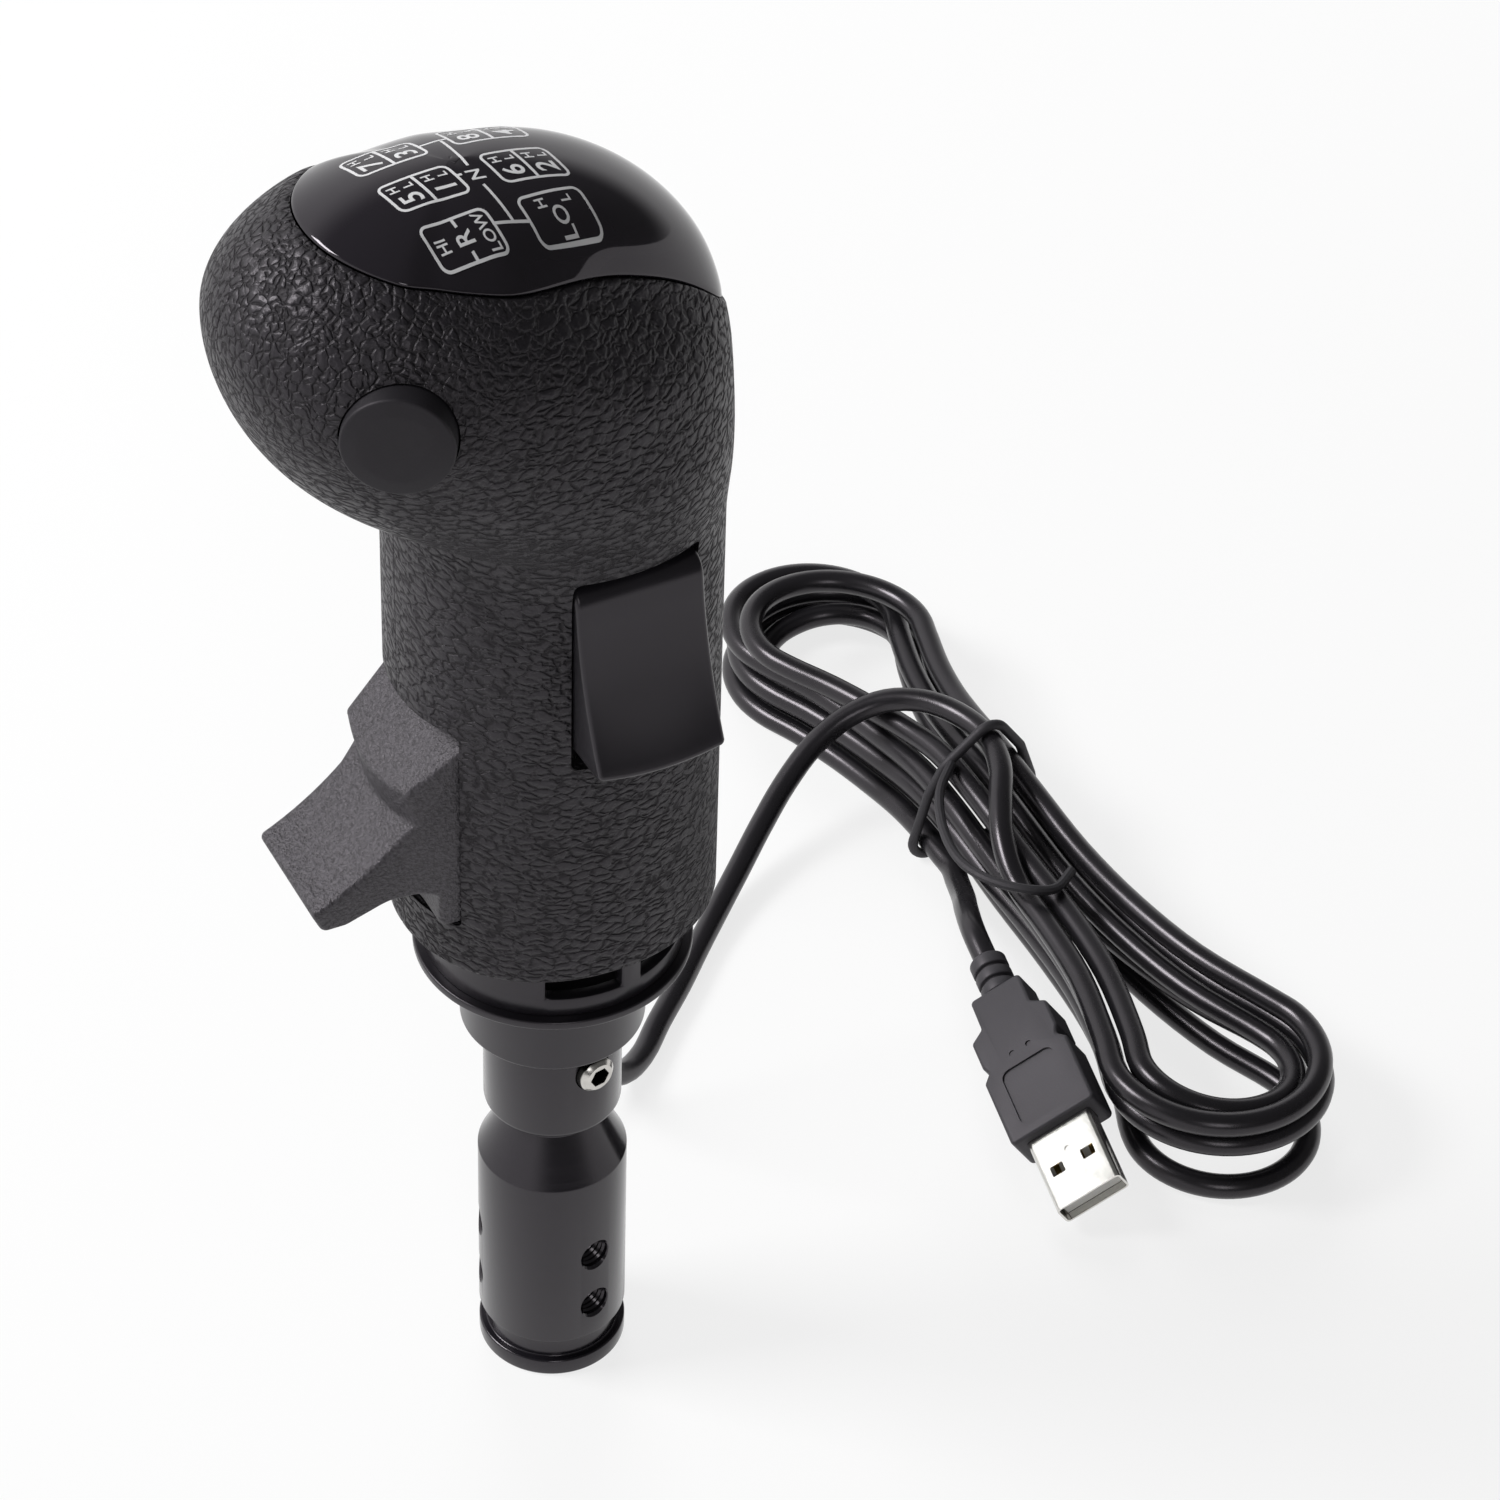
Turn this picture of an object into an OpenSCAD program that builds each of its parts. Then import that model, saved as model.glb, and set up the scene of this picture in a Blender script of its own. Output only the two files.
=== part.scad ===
// Truck-style gear knob for a driving simulator: a moulded hand grip with a range lever at the
// front, a splitter rocker and a push button on the side, on a clamp sleeve and shaft adapter,
// with a USB lead bundled in a tied hank beside it.
// Millimetres. +Z is up along the shaft, -Y is the front, +X is the driver's left.

/* [Shaft adapter] */
// Outer diameter of the shaft adapter
adapter_d = 23; // [20:0.5:28]
// Diameter of the socket that takes the gear lever's shaft
shaft_d = 12.5; // [8:0.1:14]
// Depth of that socket
shaft_depth = 38; // [28:1:40]
// Height of the foot ring
foot_h = 3.2; // [2:0.1:5]
// Height of the groove above the foot ring
groove_h = 4.3; // [2:0.1:5]
// Depth of that groove
groove_depth = 1.2; // [0.5:0.1:2]
// Height of the shoulder where the cone starts
shoulder_h = 41; // [40:0.5:50]
// Height of the cone
cone_h = 8; // [5:0.5:12]
// Diameter of the waist above the cone
waist_d = 15; // [14:0.5:18]
// Height of the waist
waist_h = 2.6; // [1:0.1:5]
// Diameter of the spigot that enters the sleeve
spigot_d = 12; // [9:0.1:13]
// Length of that spigot
spigot_h = 20; // [17:0.5:22]
// Tapped holes for the screws that clamp the shaft
clamp_hole_d = 5; // [3:0.5:6]
// Height of the lower row of clamp holes
clamp_row_z = 14.3; // [12:0.1:16]
// Distance between the two rows
clamp_pitch = 10.7; // [7:0.1:13]
// Columns of clamp holes round the adapter
clamp_columns = 3; // [2:1:4]
// Turn of the clamp holes, sleeve screw and collar posts about the axis
index_angle = 11; // [0:1:20]

/* [Clamp sleeve] */
// Outer diameter of the sleeve
sleeve_d = 21.1; // [18:0.1:23]
// Length of sleeve that shows under the collar
sleeve_show = 17.9; // [15:0.1:24]
// Length of sleeve inside the collar
sleeve_seat = 13; // [10:0.1:13.4]
// Diameter of the set screw that holds the spigot
set_screw_d = 6; // [4:0.5:7]
// Height of the set screw above the sleeve's lower end
set_screw_z = 12.4; // [8:0.1:13]
// How far the set screw stands out of the sleeve
set_screw_proud = 0.5; // [0:0.1:1]

/* [Collar] */
// Diameter of the collar's boss
boss_d = 28; // [25:0.1:32]
// Height of that boss
boss_h = 15; // [14.5:0.1:18]
// How far the thin flange stands out of the skirt
flange_lip = 1.4; // [0.6:0.1:2.5]
// Thickness of the flange
flange_t = 1.5; // [1:0.1:2.5]
// Gap between the skirt and the grip's inner wall at the sides
skirt_gap = 0.4; // [0.2:0.1:1]
// Wall of that skirt
skirt_wall = 2.2; // [1.5:0.1:3]
// Height of skirt that shows under the grip
skirt_show = 10; // [8:0.1:14]
// Height of skirt inside the grip
skirt_seat = 7; // [4:0.1:8]
// Number of windows round the skirt
window_count = 8; // [6:1:9]
// Width of a window
window_w = 11.7; // [6:0.1:12]
// Height of a window
window_h = 6.4; // [5.6:0.1:6.5]
// Height of the window's sill above the flange
window_sill = 3.4; // [2:0.1:4]
// Diameter of the bolt that ties the collar to the sleeve
collar_bolt_d = 5; // [4:0.5:6]

/* [Grip] */
// Height of the grip above the collar
grip_h = 132.3; // [126:0.1:140]
// Front to back length of the neck
neck_l = 48.2; // [46.6:0.1:54]
// Side to side width of the neck
neck_w = 45; // [44:0.1:50]
// Reach of the head in front of the axis
head_reach = 49; // [46:0.1:54]
// Width of the head
head_w = 56.6; // [54:0.1:64]
// Depth from the top to the level where the head reaches furthest forward
nose_drop = 19.8; // [16:0.1:22]
// Height of the rounded underside of the head
under_h = 33.6; // [30:0.1:38]
// Depth from the top to the level where the back starts to curve over
rear_drop = 34; // [30:0.1:38]
// Depth from the top to the level where the head is widest
side_drop = 31.9; // [28:0.1:34]
// Distance of the crest in front of the axis
crest_front = 15.2; // [12:0.1:18]
// Distance of the widest part of the head in front of the axis
wide_front = 19; // [14:0.1:22]
// Blend radius where the neck meets the head's underside
neck_blend = 12; // [8:0.1:16]
// Depth of the thumb valley under the cap's edge
valley_depth = 6.5; // [0:0.1:7]
// Roundness of the plan outline, where 2 is an ellipse
plan_power = 2.1; // [2:0.05:2.6]
// Wall thickness of the grip shells
grip_wall = 2.6; // [2:0.1:3]

/* [Cap] */
// Wall thickness of the gloss cap
cap_wall = 2.4; // [1.6:0.1:3]
// Radius of the ball-shaped face along which the cap meets the shells
cap_arc_r = 77; // [72:0.5:90]
// Height of the cap above that face's crown
cap_crown = 4.9; // [3:0.1:6]

/* [Range lever] */
// Width of the lever's paddle
lever_w = 20; // [16:0.1:22]
// Width of the lever's root inside its slot
lever_root_w = 24.8; // [23:0.1:26]
// Height of the lever's root
lever_root_h = 33; // [28:0.1:34]
// Reach of the paddle's tip in front of the axis
lever_reach = 42.3; // [38:0.1:48]
// Height of the pivot above the grip's lower edge
lever_pivot_h = 26; // [24:0.1:30]
// Distance of the pivot in front of the axis
lever_pivot_front = 9; // [8.6:0.1:10]
// Diameter of the lever's pin
lever_pin_d = 3; // [2:0.1:4]

/* [Splitter rocker] */
// Width of the rocker's slot
rocker_slot_w = 20; // [16:0.1:21]
// Height of the rocker's slot
rocker_slot_h = 34; // [30:0.1:36]
// Height of the slot's middle above the grip's lower edge
rocker_mid_h = 57.5; // [56:0.1:62]
// Distance of the rocker behind the axis
rocker_back = 2.6; // [1:0.1:4]
// How far the rocker's lower edge stands out of the grip
rocker_lift = 8; // [5:0.1:10]
// Diameter of the rocker's pin
rocker_pin_d = 2.5; // [2:0.1:3.5]

/* [Push button] */
// Diameter of the push button
button_d = 15.4; // [12:0.1:16]
// Height of the button above the grip's surface
button_proud = 1.4; // [1:0.1:4]
// Travel of the button
button_travel = 2; // [1:0.1:2.2]

/* [USB lead] */
// Diameter of the cable
cable_d = 4.2; // [4:0.1:4.2]
// Diameter of the wire tie round the hank
tie_d = 1.8; // [1.2:0.1:2]
// Width of the plug's overmould
plug_w = 16; // [14.4:0.1:16.4]
// Thickness of the overmould
plug_t = 8; // [7:0.1:9]
// Length of the overmould
plug_l = 30; // [26:0.5:34]
// Length of metal shell that shows
shell_show = 14.5; // [12:0.1:15]

/* [Hidden] */
$fn = 64;

// Clearances: running fits, seats of fixed pieces, and room round pieces that move
fit = 0.05;
seat = 0.1;
room = 0.3;
// Margin by which a cutter passes the faces that it opens
past = 1;

// Skirt and flange of the collar, inside and under the grip's neck
skirt_d = neck_w - 2 * grip_wall - 2 * skirt_gap;
flange_d = skirt_d + 2 * flange_lip;

// Levels up the shaft
z_cone = shoulder_h + cone_h;
z_sleeve = z_cone + waist_h;
z_collar = z_sleeve + sleeve_show;
z_flange = z_collar + boss_h;
z_skirt = z_flange + flange_t;
z_grip = z_skirt + skirt_show;
z_top = z_grip + grip_h;
z_nose = z_top - nose_drop;
z_side = z_top - side_drop;
z_rear = z_top - rear_drop;
z_under = z_nose - under_h;
ledge_t = 2;
z_ledge = z_grip + skirt_seat + ledge_t;
z_swell = min(z_under, z_side - under_h);

// Collar bolt: socket head in the collar's floor
bolt_head_d = collar_bolt_d * 1.7;
bolt_thread = 7;
collar_floor = z_collar + sleeve_seat;
hex_share = 0.5;

// Slices and corners of the grip's moulding
shell_bands = 17;
shell_corners = 24;
cap_bands = 9;
cap_corners = 44;
shell_end = z_top - cap_crown + 0.6;
// Thumb valley: its level at the axis, its fall towards the rear, and how fast it fades
valley_z = z_top - 15.3;
valley_fall = 0.41;
valley_below = 6.5;
valley_above = 8;
valley_front = 0.25;
side_blend = 11;

// Cap seam: crown of a ball in front of the axis
cap_arc_y = -crest_front - 17.8;
cap_arc_z = z_top - cap_crown - cap_arc_r;

// Range lever, seen from the side: distance in front of the axis, then height
lever_pivot_z = z_grip + lever_pivot_h;
lever_low = z_grip + 9;
lever_high = lever_low + lever_root_h;
lever_face = neck_l / 2 - 2.6;
lever_shelf = [lever_face - 2, lever_high - 0.4];
lever_ledge = [neck_l / 2 + 3.9, lever_pivot_z + 8.5];
lever_fold = [neck_l / 2 + 2.3, lever_pivot_z + 2.6];
lever_tip = [lever_reach, lever_pivot_z - 9.4];
lever_tip_t = 3.8;
lever_arch_z = lever_low + 6.4;
lever_scoop_r = 45;
lever_hub_r = 4.2;
lever_cam_r = lever_pivot_front - 0.6;
lever_cam_w = 8;
lever_slot_w = lever_root_w + 2 * room;
lever_slot_low = lever_low - 2 * room;
lever_slot_high = lever_high + 2.4;
lever_boss_r = lever_pin_d / 2 + 2;
lever_pin_l = lever_root_w + 8;

// Screws that close the two grip shells: distance behind the axis, then height
shell_screw_at = [
    [-crest_front - 11.8, z_nose - 21], [neck_l / 2 - 11, z_rear - 1],
    [neck_l / 2 - 10, z_ledge + 5.5], [9 - neck_l / 2, lever_slot_high + 10.6]
];
shell_screw_d = 3;
shell_screw_head_d = 5.6;
shell_screw_head_h = 2.4;
shell_screw_reach = 8;
shell_screw_seat = 6;
screw_boss_r = shell_screw_head_d / 2 + 1.3;

// Splitter rocker, seen from the rear: distance left of the axis, then height
rocker_mid = z_grip + rocker_mid_h;
rocker_low = rocker_mid - rocker_slot_h / 2;
rocker_high = rocker_mid + rocker_slot_h / 2;
rocker_w = rocker_slot_w - 2 * room;
rocker_pivot_x = neck_w / 2 - 9.5;
rocker_hub_r = 4;
rocker_face_r = 70;
rocker_top = [neck_w / 2 - 0.2, rocker_high - 2];
rocker_tip = [neck_w / 2 + rocker_lift, rocker_low + 5];
rocker_ear_t = 2.2;
rocker_pin_l = rocker_w + 2 * (rocker_ear_t + 2 * room);

// Push button: place on the head's left cheek and direction of its axis
button_at = [head_w / 2 - 4.3, -crest_front - 18.3, z_nose - 4];
button_turn = -30;
button_wall = 8.5;
button_flange_d = button_d + 2;
button_flange_t = 1.2;
button_post_d = 3.2;
button_post_l = 4;
button_cup_d = button_flange_d + 3;
button_cup_top = 5.5;
button_depth = 18;
button_board_t = 1.4;
button_switch_w = 6;
button_switch_h = 3.4;

// Controller board, fixed to the right shell
board_x = -4.6;
board_t = 1.6;
board_y = [lever_cam_r - lever_pivot_front + 2.6, neck_l / 2 - 6.1];
board_z = [lever_pivot_z - 4, rocker_mid + 14.5];
board_screw_at = [[board_y[1] - 3.5, lever_pivot_z + 1], [board_y[0] + 4, rocker_mid + 10.5]];
board_screw_d = 2.2;
board_boss_d = 6;
switch_t = 6.4;
switch_l = 10;
switch_h = 13;
switch_plunger_d = 2.4;
header_size = [5, 7, 5];
header_gap = 0.5;
header_y = board_screw_at[0][0] - board_boss_d / 2 - header_size[1] - header_gap;

// Cable grommet in one of the skirt's windows
grommet_angle = index_angle + 158;
grommet_z = z_skirt + window_sill + window_h / 2;
grommet_in = skirt_d / 2 - skirt_wall - 1.2;
grommet_out = skirt_d / 2 + 7.5;
grommet_root_d = window_h - 0.6;
grommet_tip_d = cable_d + 1.6;
// Bay of the skirt that has no window, counted from the grommet's
blank_bay = 3;

// Corner points of a unit direction in plan
function heading(a) = [cos(a), sin(a), 0];
function ease(t) = let (s = min(1, max(0, t))) s * s * (3 - 2 * s);
function unit(v) = v / norm(v);

// Grip form: horizontal slices, each made of a front and a rear half superellipse
function round_off(u) = sqrt(max(0, 1 - pow(min(abs(u), 1), 2)));
function soft_max(a, b, k) = let (h = max(k - abs(a - b), 0) / k) max(a, b) + h * h * k / 4;
function bulge(z, level) = z > level ? round_off((z - level) / (z_top - level))
    : round_off((level - z) / under_h);
function grip_front(z) =
    let (bulb = crest_front + (head_reach - crest_front) * bulge(z, z_nose))
    z > z_nose ? bulb : soft_max(bulb, neck_l / 2, neck_blend);
function grip_rear(z) = -crest_front + (neck_l / 2 + crest_front) *
    (z > z_rear ? round_off((z - z_rear) / (z_top - z_rear)) : 1);
function grip_half(z) =
    let (side = head_w / 2 * bulge(z, z_side))
    z > z_side ? side : soft_max(side, neck_w / 2, side_blend);
function grip_wide(z) =
    let (up = max(0, z - z_nose) / (z_top - z_nose))
    -wide_front * ease((z - z_under) / under_h) + (wide_front - crest_front) * up * up;
// c runs from -1 at the front of a slice over 0 at its widest place to 1 at its rear
function valley(z, c) =
    let (w = grip_wide(z), y = w + (c > 0 ? grip_rear(z) - w : grip_front(z) + w) * c,
         above = z - valley_z + valley_fall * y, fade = above < 0 ? valley_below : valley_above,
         share = valley_front + (1 - valley_front) * ease((c - 0.05) / 0.6))
    valley_depth * share * ease((c + 0.55) / 0.3) * exp(-pow(above / fade, 2));
function power(v) = sign(v) * pow(abs(v), 2 / plan_power);
// Point of the slice at height z, at angle a from the rear, inset by a wall
function grip_point(z, a, wall) =
    let (s = sin(a), c = power(cos(a)), w = grip_wide(z))
    [power(s) * (grip_half(z) - wall - valley(z, c)),
     c > 0 ? w + (grip_rear(z) - wall - w) * c : w + (grip_front(z) - wall + w) * c,
     z];

// Half width of the grip at a place in its side view, and the least of it over a round boss
function skin_x(y, z) =
    let (w = grip_wide(z), c = (y - w) / (y > w ? grip_rear(z) - w : grip_front(z) + w))
    abs(c) >= 1 ? 0 : (grip_half(z) - valley(z, c)) * pow(1 - pow(abs(c), plan_power), 1 / plan_power);
function boss_end(at, r) = min([for (y = [-r, 0, r], z = [-r, 0, r]) skin_x(at[0] + y, at[1] + z)])
    - grip_wall / 4;

// Left half of the grip's wall, open at the parting plane, as one skin of triangles
module grip_wall_half() {
    levels = concat([z_grip], [for (i = [0 : shell_bands])
        z_swell + (shell_end - z_swell) * i / shell_bands]);
    n = shell_corners;
    m = 2 * (n + 1);
    rows = len(levels);
    points = [for (z = levels) each concat(
        [for (i = [0 : n]) grip_point(z, 180 * i / n, 0)],
        [for (i = [n : -1 : 0]) grip_point(z, 180 * i / n, grip_wall)])];
    sides = [for (r = [0 : rows - 2]) for (i = [0 : m - 1])
        let (a = r * m + i, b = r * m + (i + 1) % m, c = b + m, d = a + m) each [[a, b, c], [a, c, d]]];
    foot = [for (i = [0 : n - 1]) let (j = m - 1 - i) each [[i, j, i + 1], [i + 1, j, j - 1]]];
    t = (rows - 1) * m;
    head = [for (i = [0 : n - 1]) let (j = m - 1 - i)
        each [[t + i, t + i + 1, t + j], [t + i + 1, t + j - 1, t + j]]];
    polyhedron(points, concat(sides, foot, head));
}

// Solid dome of the head from a level up to the crest, inset by a wall
module dome(low, wall) {
    n = cap_corners;
    high = z_top - wall;
    levels = [for (i = [0 : cap_bands - 1]) low + (high - low) * sin(90 * i / cap_bands)];
    points = concat([for (z = levels) for (i = [0 : n - 1]) grip_point(z + wall, 360 * i / n, wall)
        - [0, 0, wall]], [[0, -crest_front, high]]);
    sides = [for (r = [0 : cap_bands - 2]) for (i = [0 : n - 1])
        let (a = r * n + i, b = r * n + (i + 1) % n) each [[a, b, b + n], [a, b + n, a + n]]];
    t = (cap_bands - 1) * n;
    crown = [for (i = [0 : n - 1]) [t + i, t + (i + 1) % n, t + n]];
    foot = [[for (i = [n - 1 : -1 : 0]) i]];
    polyhedron(points, concat(sides, crown, foot));
}

// Cylinder across the grip along X
module across(r, x0, x1) {
    translate([x0, 0, 0]) rotate([0, 90, 0]) cylinder(r = r, h = x1 - x0);
}

module cap_seam(r) {
    translate([0, cap_arc_y, cap_arc_z]) sphere(r, $fn = 120);
}

// Tube with flat ends along a list of points
tube_ref = [0.35, 0.25, 0.9];
function tube_heading(path, i) = unit(path[min(i + 1, len(path) - 1)] - path[max(i - 1, 0)]);
module tube(path, d, sides) {
    n = len(path);
    points = [for (i = [0 : n - 1])
        let (t = tube_heading(path, i), a = unit(cross(t, tube_ref)), b = cross(t, a))
        for (s = [0 : sides - 1]) path[i] + d / 2 * (a * cos(360 * s / sides) + b * sin(360 * s / sides))];
    skin = [for (r = [0 : n - 2]) for (s = [0 : sides - 1])
        let (a = r * sides + s, b = r * sides + (s + 1) % sides)
        each [[a, b, b + sides], [a, b + sides, a + sides]]];
    first = [[for (s = [sides - 1 : -1 : 0]) s]];
    last = [[for (s = [0 : sides - 1]) (n - 1) * sides + s]];
    polyhedron(points, concat(skin, first, last));
}

// Rectangle with round corners, centred
module rounded(w, h, r) {
    square([w - 2 * r, h], center = true);
    square([w, h - 2 * r], center = true);
    for (x = [-1, 1], y = [-1, 1])
        translate([x * (w / 2 - r), y * (h / 2 - r)]) circle(r, $fn = 32);
}

module shaft_adapter() {
    r = adapter_d / 2;
    bevel = 0.6;
    color("#1b1b1e") difference() {
        rotate_extrude() polygon([
            [shaft_d / 2, 0], [r - bevel, 0], [r, bevel], [r, foot_h], [r - groove_depth, foot_h],
            [r - groove_depth, foot_h + groove_h], [r, foot_h + groove_h], [r, shoulder_h],
            [waist_d / 2, z_cone], [waist_d / 2, z_sleeve], [spigot_d / 2, z_sleeve],
            [spigot_d / 2, z_sleeve + spigot_h], [0, z_sleeve + spigot_h], [0, shaft_depth],
            [shaft_d / 2, shaft_depth]]);
        for (i = [0 : clamp_columns - 1], row = [0, 1])
            rotate([0, 0, index_angle + 360 * i / clamp_columns])
                translate([shaft_d / 4, 0, clamp_row_z + row * clamp_pitch])
                    rotate([0, 90, 0]) cylinder(d = clamp_hole_d, h = adapter_d);
    }
}

module clamp_sleeve() {
    bore_h = spigot_h + seat;
    color("#202023") difference() {
        translate([0, 0, z_sleeve]) cylinder(d = sleeve_d, h = sleeve_show + sleeve_seat);
        translate([0, 0, z_sleeve - past]) cylinder(d = spigot_d + 2 * fit, h = bore_h + past);
        translate([0, 0, collar_floor - bolt_thread - seat])
            cylinder(d = collar_bolt_d + 2 * fit, h = bolt_thread + seat + past);
        rotate([0, 0, index_angle]) translate([0, 0, z_sleeve + set_screw_z]) rotate([0, 90, 0])
            cylinder(d = set_screw_d + 2 * fit, h = sleeve_d);
    }
}

module sleeve_set_screw() {
    tip = spigot_d / 2 + seat;
    l = sleeve_d / 2 + set_screw_proud - tip;
    bevel = 0.6;
    color("#d8d8d4") rotate([0, 0, index_angle]) translate([tip, 0, z_sleeve + set_screw_z])
        rotate([0, 90, 0]) difference() {
            rotate_extrude() polygon([[0, 0], [set_screw_d / 2 - bevel, 0], [set_screw_d / 2, bevel],
                [set_screw_d / 2, l - bevel], [set_screw_d / 2 - bevel, l], [0, l]]);
            translate([0, 0, l * hex_share])
                cylinder(d = set_screw_d * hex_share * 1.155, h = l, $fn = 6);
        }
}

module base_collar() {
    ri = skirt_d / 2 - skirt_wall;
    skirt_top = z_grip + skirt_seat;
    bevel = 0.5;
    color("#161618") difference() {
        rotate_extrude() polygon([
            [sleeve_d / 2 + fit, z_collar], [boss_d / 2 - bevel, z_collar], [boss_d / 2, z_collar + bevel],
            [boss_d / 2, z_flange], [flange_d / 2, z_flange], [flange_d / 2, z_skirt],
            [skirt_d / 2, z_skirt], [skirt_d / 2, skirt_top], [ri, skirt_top], [ri, z_skirt],
            [collar_bolt_d / 2 + seat, z_skirt], [collar_bolt_d / 2 + seat, collar_floor],
            [sleeve_d / 2 + fit, collar_floor]]);
        for (i = [0 : window_count - 1]) if (i != blank_bay)
            rotate([0, 0, grommet_angle + 360 * i / window_count])
                translate([ri - past, -window_w / 2, z_skirt + window_sill])
                    cube([skirt_wall + 2 * past, window_w, window_h]);
    }
}

module collar_bolt() {
    color("#3a3a3d") translate([0, 0, z_skirt]) difference() {
        union() {
            translate([0, 0, collar_floor - bolt_thread - z_skirt])
                cylinder(d = collar_bolt_d, h = z_skirt - collar_floor + bolt_thread);
            cylinder(d = bolt_head_d, h = collar_bolt_d);
        }
        translate([0, 0, collar_bolt_d * hex_share])
            cylinder(d = collar_bolt_d * 0.9, h = collar_bolt_d, $fn = 6);
    }
}

// Shapes shared by both shells, on the left half
module shell_blank() {
    difference() {
        union() {
            grip_wall_half();
            for (at = shell_screw_at) translate([0, at[0], at[1]])
                across(screw_boss_r, 0, boss_end(at, screw_boss_r));
            translate([0, -lever_pivot_front, lever_pivot_z])
                across(lever_boss_r, lever_root_w / 2 + room,
                    boss_end([-lever_pivot_front, lever_pivot_z], lever_boss_r));
            translate([0, 0, z_grip]) skirt_land(skirt_d / 2 + seat, skirt_seat);
            translate([0, 0, z_grip + skirt_seat]) skirt_land(skirt_d / 2 - skirt_wall, ledge_t);
        }
        cap_seam_outside();
        translate([0, -lever_pivot_front, (lever_slot_low + lever_slot_high) / 2]) rotate([90, 0, 0])
            linear_extrude(neck_l) rounded(lever_slot_w, lever_slot_high - lever_slot_low, 3 * room);
        translate([0, -lever_pivot_front, lever_pivot_z])
            across(lever_pin_d / 2 + fit, 0, lever_pin_l / 2 + seat);
    }
}

// Land round the collar's skirt, on the left half
module skirt_land(r, h) {
    linear_extrude(h) difference() {
        intersection() {
            neck_inner();
            translate([0, -neck_l]) square([neck_w, 2 * neck_l]);
        }
        circle(r);
    }
}

module cap_seam_outside() {
    difference() {
        translate([-head_w, -head_reach - past, z_side - past])
            cube([2 * head_w, head_reach + neck_l, z_top - z_side + 2 * past]);
        cap_seam(cap_arc_r);
    }
}

module grip_shell_left() {
    color("#232226") difference() {
        union() {
            shell_blank();
            rocker_ears();
            button_cup();
        }
        rocker_opening();
        button_bores();
        for (at = shell_screw_at) translate([0, at[0], at[1]])
            across(shell_screw_d / 2 + fit / 2, -past, shell_screw_reach + seat);
    }
}

module grip_shell_right() {
    color("#232226") difference() {
        union() {
            mirror([1, 0, 0]) shell_blank();
            for (at = board_screw_at) translate([0, at[0], at[1]])
                across(board_boss_d / 2, -boss_end(at, board_boss_d / 2), board_x);
        }
        for (at = shell_screw_at) translate([0, at[0], at[1]]) {
            across(shell_screw_d / 2 + seat, -shell_screw_seat - past, past);
            across(shell_screw_head_d / 2 + seat, -head_w, -shell_screw_seat);
        }
        for (at = board_screw_at) translate([0, at[0], at[1]])
            across(board_screw_d / 2 + fit / 2, board_x - 2 * board_screw_d - seat, board_x + past);
    }
}

module shell_screws() {
    head = -shell_screw_seat - shell_screw_head_h;
    color("#57575b") for (at = shell_screw_at) translate([0, at[0], at[1]]) difference() {
        union() {
            across(shell_screw_d / 2, -shell_screw_seat, shell_screw_reach);
            across(shell_screw_head_d / 2, head, -shell_screw_seat);
        }
        for (turn = [0, 90]) translate([head, 0, 0]) rotate([turn, 0, 0])
            cube([shell_screw_head_h, 0.8, shell_screw_head_d * 0.6], center = true);
    }
}

module top_cap() {
    low = z_side;
    color("#0b0b0d") difference() {
        dome(low, 0);
        dome(low - past, cap_wall);
        cap_seam(cap_arc_r + seat);
    }
}

// Side view of the lever's root and paddle: distance in front of the axis, then height
module lever_paddle_side() {
    low = lever_tip[1] - lever_tip_t;
    difference() {
        polygon([
            [lever_pivot_front, lever_pivot_z + lever_hub_r], [lever_face - 3, lever_high], lever_shelf,
            lever_fold, lever_tip, [lever_reach - 0.5, low + 1.6], [lever_reach - 1.9, low],
            [lever_reach - 4.3, low], [lever_ledge[0] + 3.9, lever_arch_z - 0.9],
            [lever_ledge[0] - 2.3, lever_arch_z], [lever_face + 1.1, lever_arch_z - 0.2],
            [lever_face, lever_arch_z - 1.6], [lever_face, lever_low + 1], [lever_face - 0.9, lever_low],
            [lever_face - 3, lever_low], [lever_pivot_front, lever_pivot_z - lever_hub_r]]);
        scoop(lever_fold, lever_tip, lever_scoop_r);
    }
}

// Side view of the ledge over the paddle, left long at the front
module lever_ledge_side() {
    way = lever_ledge - lever_shelf;
    low = 2 * lever_fold[1] - lever_ledge[1] + 2;
    out = lever_shelf + 1.5 * way;
    polygon([[lever_face - 3, lever_high], lever_shelf, out, [out[0], low], [lever_face - 3, low]]);
}

// Round front of the ledge, leaning out towards the top
module lever_ledge_front() {
    foot = norm([lever_fold[0], lever_w / 2]);
    lean = norm([lever_ledge[0], lever_w / 2]) - foot;
    rise = lever_ledge[1] - lever_fold[1];
    translate([0, 0, lever_fold[1] - rise])
        cylinder(r1 = foot - lean, r2 = foot + 3 * lean, h = 4 * rise, $fn = 96);
}

// Round hollow through two points of an edge, on the left of the way from a to b
module scoop(a, b, r) {
    half = norm(b - a) / 2;
    way = (b - a) / (2 * half);
    middle = (a + b) / 2 + [-way[1], way[0]] * sqrt(r * r - half * half);
    translate(middle) circle(r, $fn = 120);
}

// Plan of the lever: distance in front of the axis, then half width
module lever_plan() {
    w = lever_w / 2;
    root = lever_root_w / 2;
    polygon([[0, -root], [lever_face - 1.5, -root], [lever_ledge[0] + 1, -w], [lever_reach + past, -w + 0.2],
        [lever_reach + past, w - 0.2], [lever_ledge[0] + 1, w], [lever_face - 1.5, root], [0, root]]);
}

// Sweep of a side view across the lever
module lever_sweep() {
    translate([lever_root_w, 0, 0]) rotate([90, 0, -90]) linear_extrude(2 * lever_root_w) children();
}

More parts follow.
